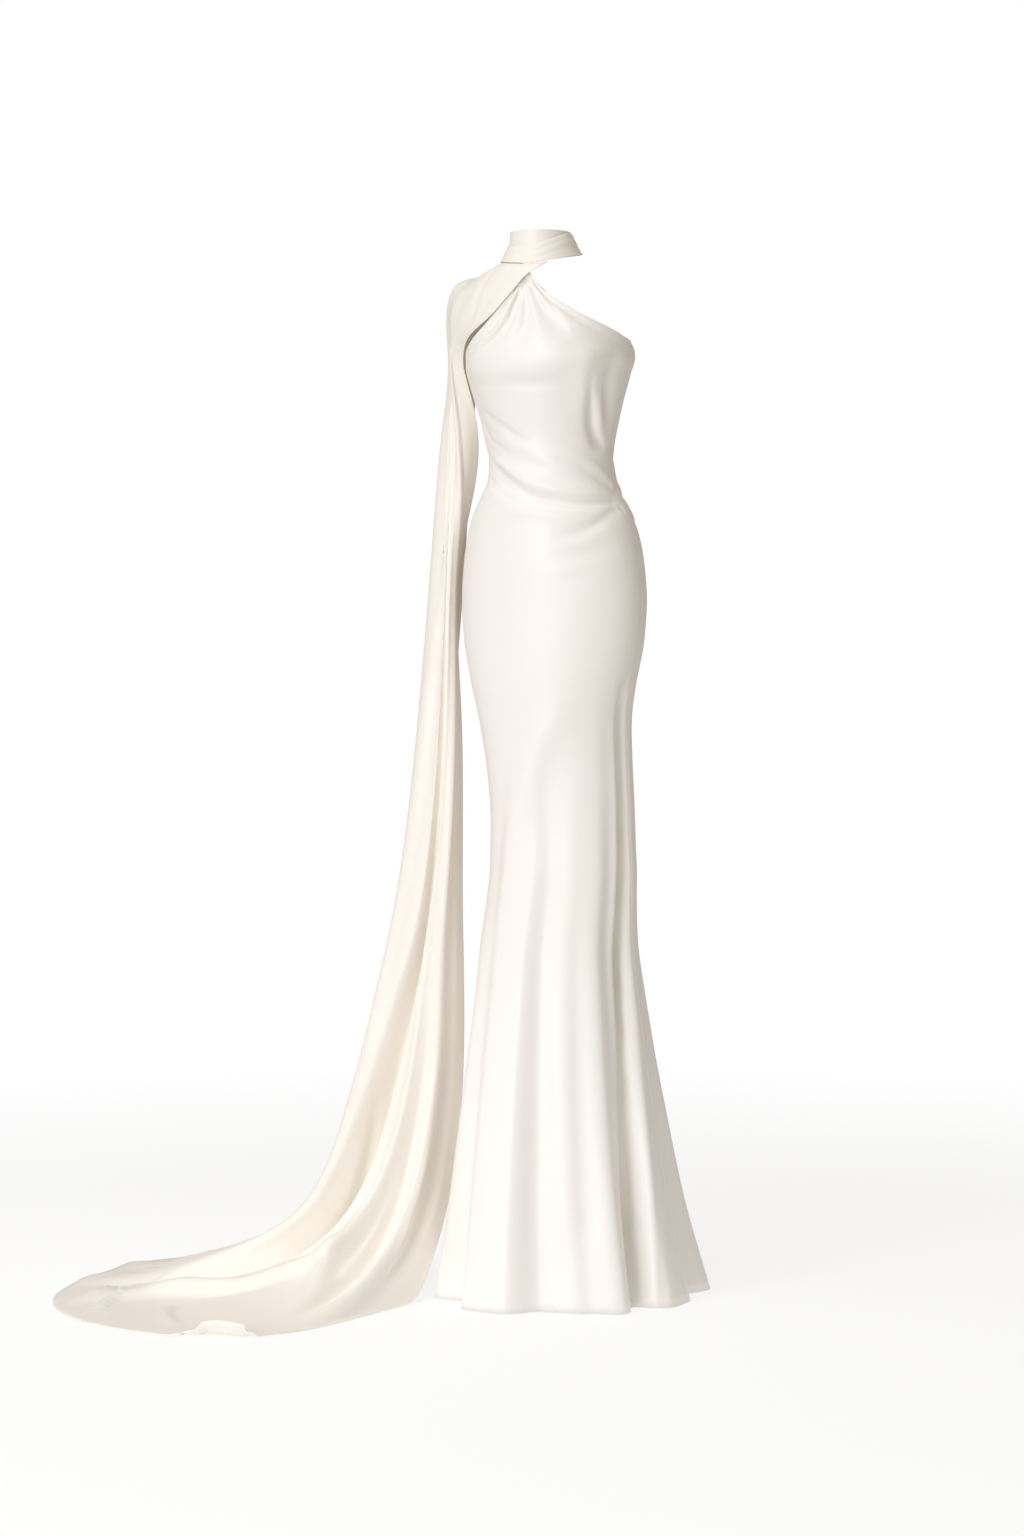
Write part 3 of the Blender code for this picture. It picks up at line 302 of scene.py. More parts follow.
# Fine folds of the body. Each runs through spots of angle and height towards the wearer's left or
# upwards; then its reach out, its half width below or left of the line and above or right of it,
# and the shares of its length over which it comes and goes
BODY_FOLDS = (
    ("waist crease", ((-62, 1.293), (-49, 1.286), (-17.5, 1.257), (12, 1.225), (38, 1.217), (84, 1.221)),
     -0.0034, 0.0036, 0.0075, 0.25, 0.05),
    ("waist ridge", ((-54, 1.301), (-17.5, 1.269), (12, 1.238), (38, 1.23), (82, 1.232)),
     0.0018, 0.006, 0.01, 0.2, 0.15),
    ("low waist crease", ((-54, 1.263), (-17, 1.23), (1.5, 1.213), (16, 1.204)),
     -0.0026, 0.0036, 0.0065, 0.15, 0.45),
    ("side crest", ((8, 1.301), (20.5, 1.299), (59.5, 1.281), (88, 1.246)), 0.0022, 0.01, 0.006, 0.3, 0.05),
    ("side crease", ((22, 1.287), (50, 1.272), (70, 1.252), (88, 1.232)), -0.0016, 0.005, 0.007, 0.4, 0.05),
    ("arm dart", ((53, 1.434), (52.5, 1.404), (57, 1.366), (64, 1.33), (80, 1.3)),
     -0.0042, 0.012, 0.006, 0.35, 0.2),
    ("dart crest", ((62, 1.4), (66, 1.362), (76, 1.326)), 0.0024, 0.008, 0.008, 0.3, 0.4),
    ("side streak", ((34, 1.312), (47, 1.312), (64, 1.304)), 0.0011, 0.005, 0.007, 0.4, 0.4),
    ("torso fold", ((-56.5, 1.352), (-43.5, 1.321), (-30, 1.309), (-8, 1.288)),
     -0.0032, 0.008, 0.004, 0.15, 0.5),
    ("upper torso fold", ((-46, 1.366), (-28, 1.347), (-8, 1.325), (10.5, 1.306)),
     -0.0032, 0.0085, 0.004, 0.15, 0.5),
    ("torso roll", ((-52, 1.362), (-36, 1.337), (-14, 1.31), (4, 1.294)), 0.0014, 0.006, 0.006, 0.2, 0.45),
    ("low torso fold", ((-58, 1.322), (-40, 1.302), (-20.5, 1.284), (-4, 1.268)),
     -0.0013, 0.007, 0.004, 0.15, 0.5),
    ("hip crease", ((20, 1.166), (38.5, 1.178), (73.5, 1.211), (86, 1.216)),
     -0.0025, 0.0085, 0.005, 0.5, 0.05),
    ("hip ridge", ((26, 1.157), (42, 1.166), (70, 1.192)), 0.001, 0.009, 0.007, 0.45, 0.3),
    ("low hip crease", ((12, 1.136), (35, 1.142), (60, 1.151)), -0.0011, 0.012, 0.009, 0.45, 0.4),
    ("belly hollow", ((8, 1.094), (28, 1.101), (48, 1.111)), -0.0008, 0.015, 0.011, 0.45, 0.45),
    ("underbust fold", ((-22, 1.41), (10, 1.405), (44, 1.408)), -0.0015, 0.011, 0.0055, 0.4, 0.4),
    ("low underbust fold", ((-66, 1.4), (-20, 1.391), (20, 1.388), (52, 1.392)),
     0.0012, 0.007, 0.007, 0.25, 0.4),
    ("dark gather", ((-14, 1.448), (-10.5, 1.474), (-8, 1.5), (-4.5, 1.524), (-1, 1.546), (3.5, 1.562)),
     -0.0034, 0.0055, 0.0032, 0.55, 0.04),
    ("dark gather roll", ((-22, 1.458), (-15, 1.492), (-10, 1.517), (-4.5, 1.543), (2, 1.561)),
     0.0022, 0.004, 0.004, 0.5, 0.1),
    ("cape side gather", ((-29, 1.462), (-22, 1.486), (-16, 1.508), (-10, 1.53), (-3, 1.552), (2, 1.562)),
     -0.0024, 0.004, 0.003, 0.5, 0.05),
    ("middle gather", ((4, 1.476), (4, 1.51), (5, 1.54), (6, 1.562)), 0.0014, 0.006, 0.005, 0.6, 0.1),
    ("open side gather", ((34, 1.458), (30, 1.486), (24, 1.514), (16, 1.542), (9, 1.56)),
     -0.0018, 0.0045, 0.0075, 0.5, 0.08),
    ("open side roll", ((24, 1.47), (20, 1.502), (14, 1.532), (8, 1.558)),
     0.0011, 0.005, 0.005, 0.55, 0.15),
    ("edge gather", ((62, 1.47), (46, 1.492), (30, 1.518), (16, 1.546), (10, 1.558)),
     -0.001, 0.003, 0.005, 0.45, 0.1),
    ("skirt hollow", ((40, 0.1), (38, 0.38), (34, 0.64)), -0.0022, 0.02, 0.026, 0.05, 0.6),
    ("skirt roll", ((27, 0.08), (26, 0.36), (20, 0.62)), 0.0016, 0.018, 0.018, 0.05, 0.6),
    ("side valley line",
     ((61.5, 0.002), (67.8, 0.17), (71.8, 0.297), (75, 0.42), (78.4, 0.6), (79.8, 0.75)),
     -0.01, 0.009, 0.008, 0.02, 0.45),
    ("side valley crest", ((70, 0.002), (76, 0.17), (80, 0.3), (83, 0.42)), 0.005, 0.008, 0.009, 0.02, 0.5),
    ("hem ripple", ((50, 0), (50, 0.12), (47, 0.3)), 0.0018, 0.013, 0.015, 0.02, 0.7),
    ("hem dip", ((22, 0), (21, 0.1), (20, 0.24)), -0.0016, 0.014, 0.016, 0.02, 0.7),
    ("back waist crease", ((96, 1.226), (130, 1.238), (160, 1.233), (179, 1.228)),
     -0.0022, 0.0045, 0.008, 0.1, 0.3),
    ("back waist roll", ((100, 1.24), (134, 1.253), (168, 1.246)), 0.0013, 0.007, 0.009, 0.2, 0.4),
    ("back side fold", ((94, 1.316), (112, 1.29), (136, 1.272), (158, 1.266)),
     -0.0016, 0.008, 0.0045, 0.1, 0.5),
    ("back hip crease", ((94, 1.205), (118, 1.186), (146, 1.176)), -0.0014, 0.008, 0.0055, 0.08, 0.5),
    ("right back waist crease", ((-178, 1.23), (-158, 1.236), (-130, 1.243), (-96, 1.262)),
     -0.002, 0.0045, 0.008, 0.3, 0.08),
    ("right back side fold", ((-160, 1.272), (-136, 1.284), (-114, 1.312), (-96, 1.34)),
     -0.0016, 0.008, 0.0045, 0.5, 0.08),
    ("right back hip crease", ((-148, 1.168), (-120, 1.18), (-95, 1.204)),
     -0.0013, 0.008, 0.0055, 0.5, 0.08),
)
# Samples along a fold, and how many half widths away it still counts
FOLD_SAMPLES = 110
FOLD_REACH = 2.4

# Fine folds of the cape: stations of step and share from the top, reach out, half width on the
# front side and on the back side, and the shares of its length over which it comes and goes
CAPE_FOLDS = (
    ("shoulder line", ((0.03, 0.205), (0.1, 0.185), (0.24, 0.13), (0.42, 0.085), (0.6, 0.06)),
     -0.0011, 0.004, 0.008, 0.1, 0.35),
    ("second shoulder line", ((0.05, 0.09), (0.14, 0.075), (0.3, 0.055), (0.48, 0.035)),
     -0.0008, 0.004, 0.006, 0.2, 0.35),
    ("upper arm crease", ((0.3, 0.27), (0.45, 0.2), (0.62, 0.165), (0.9, 0.15), (1.2, 0.14)),
     -0.0006, 0.009, 0.012, 0.3, 0.3),
    ("inner edge roll", ((0.52, 0.045), (0.8, 0.075), (1.04, 0.085), (1.3, 0.08), (1.6, 0.075)),
     0.0008, 0.01, 0.012, 0.15, 0.3),
    ("main crease", ((0.66, 0.25), (1, 0.265), (1.13, 0.3), (1.31, 0.315), (1.44, 0.41), (1.56, 0.53)),
     -0.0016, 0.01, 0.016, 0.4, 0.3),
    ("inner crest line", ((0.76, 0.215), (1, 0.2), (1.14, 0.14), (1.35, 0.175), (1.5, 0.235), (1.64, 0.2)),
     0.0009, 0.011, 0.014, 0.25, 0.3),
    ("outer crest line",
     ((0.9, 0.55), (1.27, 0.73), (1.46, 0.715), (1.6, 0.73), (1.72, 0.665), (1.8, 0.64)),
     0.0024, 0.016, 0.02, 0.25, 0.2),
    ("outer hollow", ((1, 0.52), (1.25, 0.56), (1.4, 0.62), (1.52, 0.655), (1.64, 0.64)),
     -0.003, 0.012, 0.012, 0.3, 0.3),
    ("tent line", ((1.7, 0.345), (1.764, 0.336), (1.8, 0.325), (1.845, 0.292)),
     0.0034, 0.011, 0.013, 0.3, 0.3),
    ("tent shoulder",
     ((1.77, 0.32), (1.8, 0.37), (1.825, 0.43), (1.85, 0.5), (1.885, 0.565), (1.93, 0.59)),
     0.007, 0.022, 0.007, 0.15, 0.3),
    ("valley floor crease",
     ((1.6, 0.6), (1.72, 0.595), (1.78, 0.59), (1.82, 0.59), (1.87, 0.61), (1.93, 0.63)),
     -0.006, 0.01, 0.014, 0.25, 0.3),
    ("upper roll", ((1.5, 0.66), (1.64, 0.655), (1.73, 0.66), (1.79, 0.665), (1.86, 0.675), (1.93, 0.69)),
     0.0055, 0.01, 0.016, 0.25, 0.3),
    ("front crease", ((1.62, 0.235), (1.71, 0.225), (1.8, 0.215), (1.88, 0.2)),
     -0.0024, 0.011, 0.014, 0.35, 0.4),
    ("front roll", ((1.66, 0.17), (1.76, 0.165), (1.84, 0.145), (1.91, 0.13)),
     0.003, 0.012, 0.012, 0.35, 0.4),
    ("tip crumple", ((1.89, 0.69), (1.935, 0.64), (1.965, 0.585), (1.99, 0.54)),
     0.011, 0.013, 0.007, 0.25, 0.3),
    ("second tip crumple", ((1.93, 0.61), (1.955, 0.545), (1.975, 0.475)), 0.0085, 0.011, 0.006, 0.3, 0.35),
    ("low crumple", ((1.905, 0.47), (1.94, 0.415), (1.968, 0.35)), 0.0075, 0.012, 0.006, 0.3, 0.35),
    ("upper ripple", ((1.87, 0.78), (1.92, 0.76), (1.975, 0.745)), 0.0085, 0.01, 0.008, 0.3, 0.25),
    ("far ripple", ((1.86, 0.85), (1.91, 0.83), (1.965, 0.815)), 0.007, 0.009, 0.009, 0.3, 0.3),
    ("hem ripple", ((1.93, 0.33), (1.965, 0.325), (2, 0.32)), 0.004, 0.01, 0.008, 0.4, 0.05),
    ("back fold", ((0.7, 0.9), (1.1, 0.885), (1.4, 0.875), (1.66, 0.88)), -0.003, 0.008, 0.012, 0.3, 0.3),
    ("back roll", ((0.8, 0.955), (1.2, 0.95), (1.5, 0.955), (1.8, 0.96)), 0.0026, 0.008, 0.008, 0.3, 0.3),
    ("side fold", ((0.55, 0.7), (0.9, 0.72), (1.2, 0.78), (1.5, 0.8)), -0.0022, 0.008, 0.01, 0.3, 0.3),
    ("back shoulder line", ((0.06, 0.8), (0.25, 0.8), (0.55, 0.78), (0.9, 0.8)),
     -0.0014, 0.005, 0.008, 0.15, 0.4),
)

# Where an edge of the train curls up: middle and half width in shares of the hem, length, turn
HEM_CURLS = ((0.262, 0.085, 0.026, 90),)

# Seams and hems: how far the cloth dips or stands at an edge, and over what width
SEAM_DIP = -0.0006
SEAM_WIDTH = 0.0022
HEM_ROLL = 0.0003
HEM_WIDTH = 0.0045

# Fine grids of the shells: columns, shares of the front between which they are twice as close for the
# deep valley, rows or their height, height where the close rows start, close columns at the edges
FRONT_COLUMNS = 160
VALLEY_SHARES = (0.8, 0.94)
BACK_COLUMNS = 84
SKIRT_ROW = 0.014
TORSO_ROW = 0.004
TORSO_START = 1.08
POINT_ROWS = 90
BACK_TOP_ROWS = 14
CAPE_COLUMNS = 190
CAPE_SHOULDER_ROWS = 60
CAPE_FALL_ROWS = 185
NECK_COLUMNS = 180
STAND_ROWS = 16
WRAP_ROWS = 24
EDGE_SHARES = (0.0015, 0.004, 0.008)

# Colours of the satin, the lights and the background
IVORY = (0.928, 0.902, 0.866, 1.0)
WARM_IVORY = (0.932, 0.888, 0.828, 1.0)
WHITE = (1.0, 1.0, 1.0, 1.0)
COOL_LIGHT = (0.925, 0.965, 1.0)
PLAIN_LIGHT = (1.0, 1.0, 1.0)
WARM_ROOM = (1.0, 0.885, 0.77, 1.0)
ROOM_LIGHT = 0.38
FLOOR = {
    "Base Color": (0.2, 0.2, 0.2, 1.0),
    "Roughness": 0.9,
    "Specular IOR Level": 0.0,
    "Emission Color": WHITE,
    "Emission Strength": 0.8,
}

# Satin: turn of the grain, noises over the cloth in metres, how the floats are drawn out, places and
# shades of the tint's ends, roughness and relief
BIAS = math.radians(45)
STRAIGHT = 0
SATIN = {"Metallic": 0.0, "Specular IOR Level": 0.5, "Sheen Weight": 0.12, "Sheen Roughness": 0.4}
FLOAT_NOISE = {"Scale": 1800.0, "Detail": 2.0}
RIPPLE_NOISE = {"Scale": 26.0, "Detail": 3.0}
PATCH_NOISE = {"Scale": 3.0, "Detail": 2.0}
FLOAT_STRETCH = (1.0, 0.12, 1.0)
TINTS = ((0.3, (0.985, 0.975, 0.955, 1.0)), (0.7, WHITE))
LUSTRE = {"To Min": 0.36, "To Max": 0.46}
RIPPLE_RELIEF = {"Strength": 0.1, "Distance": 0.002}
WEAVE_RELIEF = {"Strength": 0.12, "Distance": 0.0002}

# Square soft lights: name, turn from the front towards the wearer's left, height, distance, size, power,
# the spot over the floor that it aims at, colour, spread
LIGHTS = (
    ("key", -7, 1.75, 4.0, 1.8, 70, (0, 0, 0.7), COOL_LIGHT, 180),
    ("overhead", -8, 6.0, 2.6, 3.0, 116, (0, 0, 0.5), COOL_LIGHT, 180),
    ("fill", 40, 1.3, 4.4, 2.4, 3, (0, 0, 0.6), PLAIN_LIGHT, 180),
    ("train", -62, 1.7, 1.9, 0.8, 0.9, (-0.6, -0.24, 0.0), PLAIN_LIGHT, 60),
)

# Smallest length or span that anything is divided by
TINY = 1e-12


def steady(places, values, at):
    """Smooth curve through values that never swings past them."""
    at = np.clip(np.asarray(at, float), places[0], places[-1])
    step = np.diff(places)
    rise = np.diff(values) / step
    turns = rise[:-1] * rise[1:] <= 0
    total = np.where(turns, 1.0, rise[:-1] + rise[1:])
    slope = np.empty_like(values)
    slope[1:-1] = np.where(turns, 0.0, 2 * rise[:-1] * rise[1:] / total)
    slope[0] = rise[0]
    slope[-1] = rise[-1]
    row = np.clip(np.searchsorted(places, at, side="right") - 1, 0, len(step) - 1)
    share = (at - places[row]) / step[row]
    near = values[row] * (1 + 2 * share) * (1 - share) ** 2 + values[row + 1] * share ** 2 * (3 - 2 * share)
    bend = slope[row] * share * (1 - share) ** 2 - slope[row + 1] * share ** 2 * (1 - share)
    return near + step[row] * bend


def look_up(table, at):
    """Steady values of a table by its first column: an array for each further one, or the only one."""
    places, *columns = np.transpose(table)
    values = [steady(places, column, at) for column in columns]
    return values if len(values) > 1 else values[0]


def flowing(places, values, at):
    """Natural cubic curve through rows of values."""
    places = np.asarray(places, float)
    values = np.asarray(values, float)
    count = len(places)
    step = np.diff(places)
    rise = np.diff(values, axis=0) / step[:, None]
    system = np.eye(count)
    target = np.zeros_like(values)
    for row in range(1, count - 1):
        system[row, row - 1:row + 2] = step[row - 1], 2 * (step[row - 1] + step[row]), step[row]
        target[row] = 6 * (rise[row] - rise[row - 1])
    bend = np.linalg.solve(system, target)
    row = np.clip(np.searchsorted(places, at, side="right") - 1, 0, count - 2)
    span = step[row][:, None]
    ahead = (at - places[row])[:, None]
    start = rise[row] - span * (2 * bend[row] + bend[row + 1]) / 6
    turn = bend[row] / 2 + ahead * (bend[row + 1] - bend[row]) / (6 * span)
    return values[row] + ahead * (start + ahead * turn)


def bump(offset):
    """A soft hump, one at no offset and nothing from one half width on."""
    return np.cos(np.clip(np.abs(offset), 0, 1) * math.pi / 2) ** 2


def ease(share):
    """Soft rise from nothing at no share to one at a whole."""
    share = np.clip(share, 0, 1)
    return share * share * (3 - 2 * share)


def unit(vectors):
    """The vectors at length one."""
    return vectors / np.maximum(np.linalg.norm(vectors, axis=-1, keepdims=True), TINY)


def alike(*values):
    """The values as arrays of numbers in one shape."""
    return np.broadcast_arrays(*(np.asarray(value, float) for value in values))


def run_lengths(points, axis=0):
    """Length along the rows or columns of points, from the first up to each."""
    steps = np.linalg.norm(np.diff(points, axis=axis), axis=-1)
    return np.insert(np.cumsum(steps, axis=axis), 0, 0, axis=axis)


def towards(angle):
    """Plan direction, x and y, that an angle round the body looks in."""
    turn = np.radians(angle)
    return np.sin(turn), -np.cos(turn)


def flute_reach(angle, height):
    """How far the skirt stands out or in at an angle, from its hem flutes."""
    angles, reach, start, lateness = np.transpose(FLUTES)
    reach = reach * np.clip((start - height[..., None]) / start, 0, 1) ** lateness
    turn = (angle - angles[0]) % 360.0
    places = np.append(angles - angles[0], 360.0)
    row = np.clip(np.searchsorted(places, turn, side="right") - 1, 0, len(FLUTES) - 1)
    share = (turn - places[row]) / (places[row + 1] - places[row])
    near = np.take_along_axis(reach, row[..., None], -1)[..., 0]
    far = np.take_along_axis(reach, ((row + 1) % len(FLUTES))[..., None], -1)[..., 0]
    return near + (far - near) * (1 - np.cos(share * math.pi)) / 2


def curve_through(spots, share):
    """Curve through a start, a middle and an end, at shares of the way."""
    start, middle, end = np.asarray(spots, float)
    pull = 2 * middle - (start + end) / 2
    near = np.outer((1 - share) ** 2, start) + np.outer(2 * share * (1 - share), pull)
    return near + np.outer(share ** 2, end)


def crease_reach(angle, height):
    """How far the solids' soft creases stand out or in."""
    across = np.radians(angle) * CREASE_RADIUS
    reach = np.zeros_like(across)
    share = np.linspace(0, 1, CREASE_SAMPLES)
    strength = np.sin(share * math.pi) ** CREASE_TAPER
    for _, *spots, depth, half_width in CREASES:
        path_angle, path_height = curve_through(np.reshape(spots, (3, 2)), share).T
        apart = np.hypot(across[..., None] - np.radians(path_angle) * CREASE_RADIUS,
                         height[..., None] - path_height)
        nearest = np.argmin(apart, axis=-1)
        distance = np.min(apart, axis=-1)
        reach += depth * strength[nearest] * np.exp(-(distance / half_width) ** 2)
    return reach


def body_point(angle, height):
    """A point of the gown's body, outside, with its flutes, cups and soft creases."""
    angle, height = alike(angle, height)
    centre_x, centre_y, half_width, front, back = look_up(BODY, height)
    x_way, y_way = towards(angle)
    depth = np.where(y_way < 0, front, back)
    reach = flute_reach(angle, height) + crease_reach(angle, height)
    for cup_angle, cup_height, spread, rise_height, rise in BUST:
        away = ((angle - cup_angle) / spread) ** 2 + ((height - cup_height) / rise_height) ** 2
        reach += rise * np.exp(-away)
    x = centre_x + (half_width + reach) * x_way
    y = centre_y + (depth + reach) * y_way
    return np.stack((x, y, height), -1)


def seam_shift(height):
    """Angle that half the gap of a seam takes up at a height."""
    _, _, half_width, _, _ = look_up(BODY, height)
    return np.degrees(SEAM_GAP / 2 / half_width)


def up_body(step):
    """Height of a step up a body panel, from the hem at 0 to the row below the arms at 1."""
    return HEM_HEIGHT + (UNDERARM_ROW - HEM_HEIGHT) * np.clip(step, 0, 1)


def front_place(share, step):
    """Angle and height on the front panel, whose steps 1 to 2 run up to the point."""
    below = up_body(step)
    right_angle, right_height, left_angle, left_height = look_up(FRONT_EDGES, np.clip(step - 1, 0, 1))
    low_right = np.where(step > 1, right_height, below)
    low_left = np.where(step > 1, left_height, below)
    height = low_right + (low_left - low_right) * share
    right = np.where(step > 1, right_angle, -SIDE_ANGLE) + seam_shift(height)
    left = np.where(step > 1, left_angle, SIDE_ANGLE) - seam_shift(height)
    return right + (left - right) * share, height


def front_points(share, step):
    """Outside of the front panel, with the gathers that run up to its point."""
    share, step = alike(share, step)
    angle, height = front_place(share, step)
    points = body_point(angle, height)
    reach = np.zeros_like(angle)
    for middle, half_width, depth in GATHERS:
        reach += depth * bump((share - middle) / half_width)
    reach *= look_up(GATHER_REACH, np.clip(step - 1, 0, 1))
    points[..., :2] += reach[..., None] * np.stack(towards(angle), -1)
    return points


def back_span(side):
    """Angles between which a back panel runs: side -1 is the wearer's right, +1 the left."""
    return sorted((side * SIDE_ANGLE, side * BACK_ANGLE))


def back_points(side, share, step):
    """Outside of one back panel."""
    share, step = alike(share, step)
    start, end = back_span(side)
    plain_angle = start + (end - start) * share
    top = look_up(BACK_TOP if side < 0 else BACK_TOP_LEFT, plain_angle)
    height = up_body(step) + (top - UNDERARM_ROW) * np.clip((step - 1) / CORNER_SHARE, 0, 1)
    return body_point(plain_angle + seam_shift(height) * (1 - 2 * share), height)


def neck_point(angle, height, radius):
    """A point on a ring round the leaning neck."""
    centre_x, centre_y = look_up(NECK_LINE, height)
    x_way, y_way = towards(angle)
    return np.stack((centre_x + radius * x_way, centre_y + radius * y_way, height), -1)


def stand_points(share, step):
    """Outside of the neck stand."""
    share, step = alike(share, step)
    angle = 360.0 * share - 180.0
    foot = look_up(STAND_FOOT, angle)
    height = foot + (STAND_TOP - foot) * step
    return neck_point(angle, height, look_up(STAND, height))


def band_edges(angle):
    """Heights of the scarf band's lower and upper edge."""
    return look_up(BAND, (np.asarray(angle, float) + 180.0) % 360.0 - 180.0)


def band_points(share, step):
    """Outside of the scarf band, a cone that wraps down over the stand."""
    share, step = alike(share, step)
    angle = 360.0 * share - 180.0
    low, high = band_edges(angle)
    height = low + (high - low) * step
    over_stand = look_up(STAND, high) + WALL + SEAM_GAP
    radius = BAND_FOOT_RADIUS + (over_stand - BAND_FOOT_RADIUS) * step ** BAND_ROUNDING
    for middle, rise, half_width, reach in BAND_FOLDS:
        line = middle + rise * np.sin(np.radians(angle))
        radius += reach * bump((step - line) / half_width)
    return neck_point(angle, height, radius)


def cape_neck(angle):
    """The cape's upper edge, tucked just under the scarf band."""
    low, _ = band_edges(angle)
    front = np.clip(np.asarray(angle) / CAPE_SHOULDER[0][1], 0, 1)
    return neck_point(angle, low - CAPE_TUCK - FRONT_TUCK * front, BAND_FOOT_RADIUS - WALL / 2)


def cape_guides():
    """Each guide line of the cape as a fine curve: its points, and its length at the neck, arm and hem."""
    guides = []
    for (_, angle, *shoulder), fall in zip(CAPE_SHOULDER, CAPE_FALL):
        hanging = [(x, y, height) for (x, y), height in zip(fall, CAPE_HEIGHTS)]
        stations = np.array([cape_neck(angle), *shoulder, *hanging])
        chord = run_lengths(stations)
        fine = np.linspace(0, chord[-1], GUIDE_SAMPLES)
        curve = flowing(chord, stations, fine)
        length = run_lengths(curve)
        hang_length = np.interp(chord[FALL_STATION], fine, length)
        guides.append((curve, length, (0, hang_length, length[-1])))
    return guides


def cape_smooth(shares, steps):
    """The cape without its pleats, as a grid: steps 0 to 1 over the shoulder, 1 to 2 down to the hem."""
    places = [row[0] for row in CAPE_SHOULDER]
    along = []
    for curve, length, marks in cape_guides():
        run = np.interp(steps, (0, 1, 2), marks)
        along.append(np.stack([np.interp(run, length, curve[:, axis]) for axis in range(3)], -1))
    flat = np.reshape(along, (len(places), -1))
    points = flowing(places, flat, shares).reshape(len(shares), len(steps), 3).transpose(1, 0, 2)
    neck_angles = np.array([row[1] for row in CAPE_SHOULDER])
    on_ring = cape_neck(flowing(places, neck_angles[:, None], shares)[:, 0])
    off_ring = flowing(places, cape_neck(neck_angles), shares)
    blend = np.maximum(0.0, 1 - steps / NECK_BLEND)
    return points + (on_ring - off_ring) * blend[:, None, None]


def facing(points, closed=False):
    """Directions that face out of a grid of points, whose rows may close to rings."""
    if closed:
        wrapped = np.concatenate((points[:, -2:-1], points, points[:, 1:2]), axis=1)
        across = wrapped[:, 2:] - wrapped[:, :-2]
    else:
        across = np.gradient(points, axis=1)
    return unit(np.cross(across, np.gradient(points, axis=0)))


def lay_on_front(points, shares, step):
    """Brings the cape's front edge down onto the front panel."""
    centre_x, centre_y, half_width, front, _ = look_up(BODY, points[..., 2])
    centre = np.stack((centre_x, centre_y), -1)
    away = points[..., :2] - centre
    angle = np.degrees(np.arctan2(away[..., 0] / half_width, -away[..., 1] / front))
    body = body_point(angle, points[..., 2])[..., :2] - centre
    apart = np.linalg.norm(away, axis=-1)
    goal = np.linalg.norm(body, axis=-1) + LAY_HEIGHT
    strength = ease((step - LAY_COMES[0]) / (LAY_COMES[1] - LAY_COMES[0]))
    strength *= ease((LAY_LEAVES[1] - step) / (LAY_LEAVES[1] - LAY_LEAVES[0]))
    strength = strength * ease(1 - shares / LAY_SHARE)
    points[..., :2] += away * ((goal / apart - 1) * strength)[..., None]
    return points


def above_floor(points):
    """Lifts the points that would sink the cloth into the floor."""
    points[..., 2] = np.maximum(points[..., 2], WALL + FLOOR_CLEARANCE)
    return points


def cape_points(shares, steps):
    """Outside of the cape with its pleats."""
    points = cape_smooth(shares, steps)
    out = facing(points)
    reach = np.zeros(points.shape[:2])
    for _, *stations in PLEATS:
        middle, half_width, depth = np.array(look_up(stations, steps))[..., None]
        reach += depth * bump((shares - middle) / half_width)
    return above_floor(lay_on_front(points + out * reach[..., None], shares, steps[:, None]))


def fold_strength(share, come, go):
    """Strength of a fold at shares of its line: it comes at the start and goes at the end."""
    return ease(share / come) * ease((1 - share) / go)


def even_line(spots, count):
    """Even samples of a smooth curve through spots, one array for each of their numbers."""
    spots = np.asarray(spots, float)
    chord = run_lengths(spots / np.maximum(np.ptp(spots, axis=0), TINY))
    return look_up(np.column_stack((chord, spots)), np.linspace(0, chord[-1], count))


def fold_lift(points, out, line, strength, before, after):
    """Share of a fold's reach at each grid point, by its distance from the fold's line in space."""
    spots = points.reshape(-1, 3)
    margin = FOLD_REACH * max(before, after)
    close = np.flatnonzero(np.all((spots > line.min(0) - margin) & (spots < line.max(0) + margin), axis=1))
    offset = spots[close, None] - line
    nearest = np.linalg.norm(offset, axis=-1).argmin(1)
    offset = offset[np.arange(len(close)), nearest]
    heading = unit(np.gradient(line, axis=0))[nearest]
    ahead = (offset * heading).sum(-1, keepdims=True)
    inside = (nearest > 0) & (nearest < len(line) - 1)
    offset = np.where(inside[:, None], offset - ahead * heading, offset)
    side = (np.cross(out.reshape(-1, 3)[close], heading) * offset).sum(-1)
    apart = np.linalg.norm(offset, axis=-1) / np.where(side > 0, after, before)
    lift = np.zeros(len(spots))
    lift[close] = strength[nearest] * np.exp(-apart ** 2)
    return lift.reshape(points.shape[:2])


def body_folds(points, out, low_angle, high_angle):
    """How far the fine folds between two angles lift a body panel's points."""
    reach = np.zeros(points.shape[:2])
    for _, spots, depth, before, after, come, go in BODY_FOLDS:
        if any(low_angle <= angle <= high_angle for angle, _ in spots):
            line = body_point(*even_line(spots, FOLD_SAMPLES))
            strength = fold_strength(np.linspace(0, 1, FOLD_SAMPLES), come, go)
            reach += depth * fold_lift(points, out, line, strength, before, after)
    return reach


def cape_folds(points, shares, steps):
    """How far the fine folds lift the cape's points, by their distance along each row of the cloth."""
    across = run_lengths(points, 1)
    reach = np.zeros(points.shape[:2])
    for _, stations, depth, front, back, come, go in CAPE_FOLDS:
        first, last = stations[0][0], stations[-1][0]
        strength = fold_strength((steps - first) / (last - first), come, go)
        middle = look_up(stations, steps)
        place_across = np.array([np.interp(share, shares, row) for share, row in zip(middle, across)])
        apart = across - place_across[:, None]
        apart /= np.where(apart > 0, back, front)
        reach += depth * strength[:, None] * np.exp(-apart ** 2)
    return reach


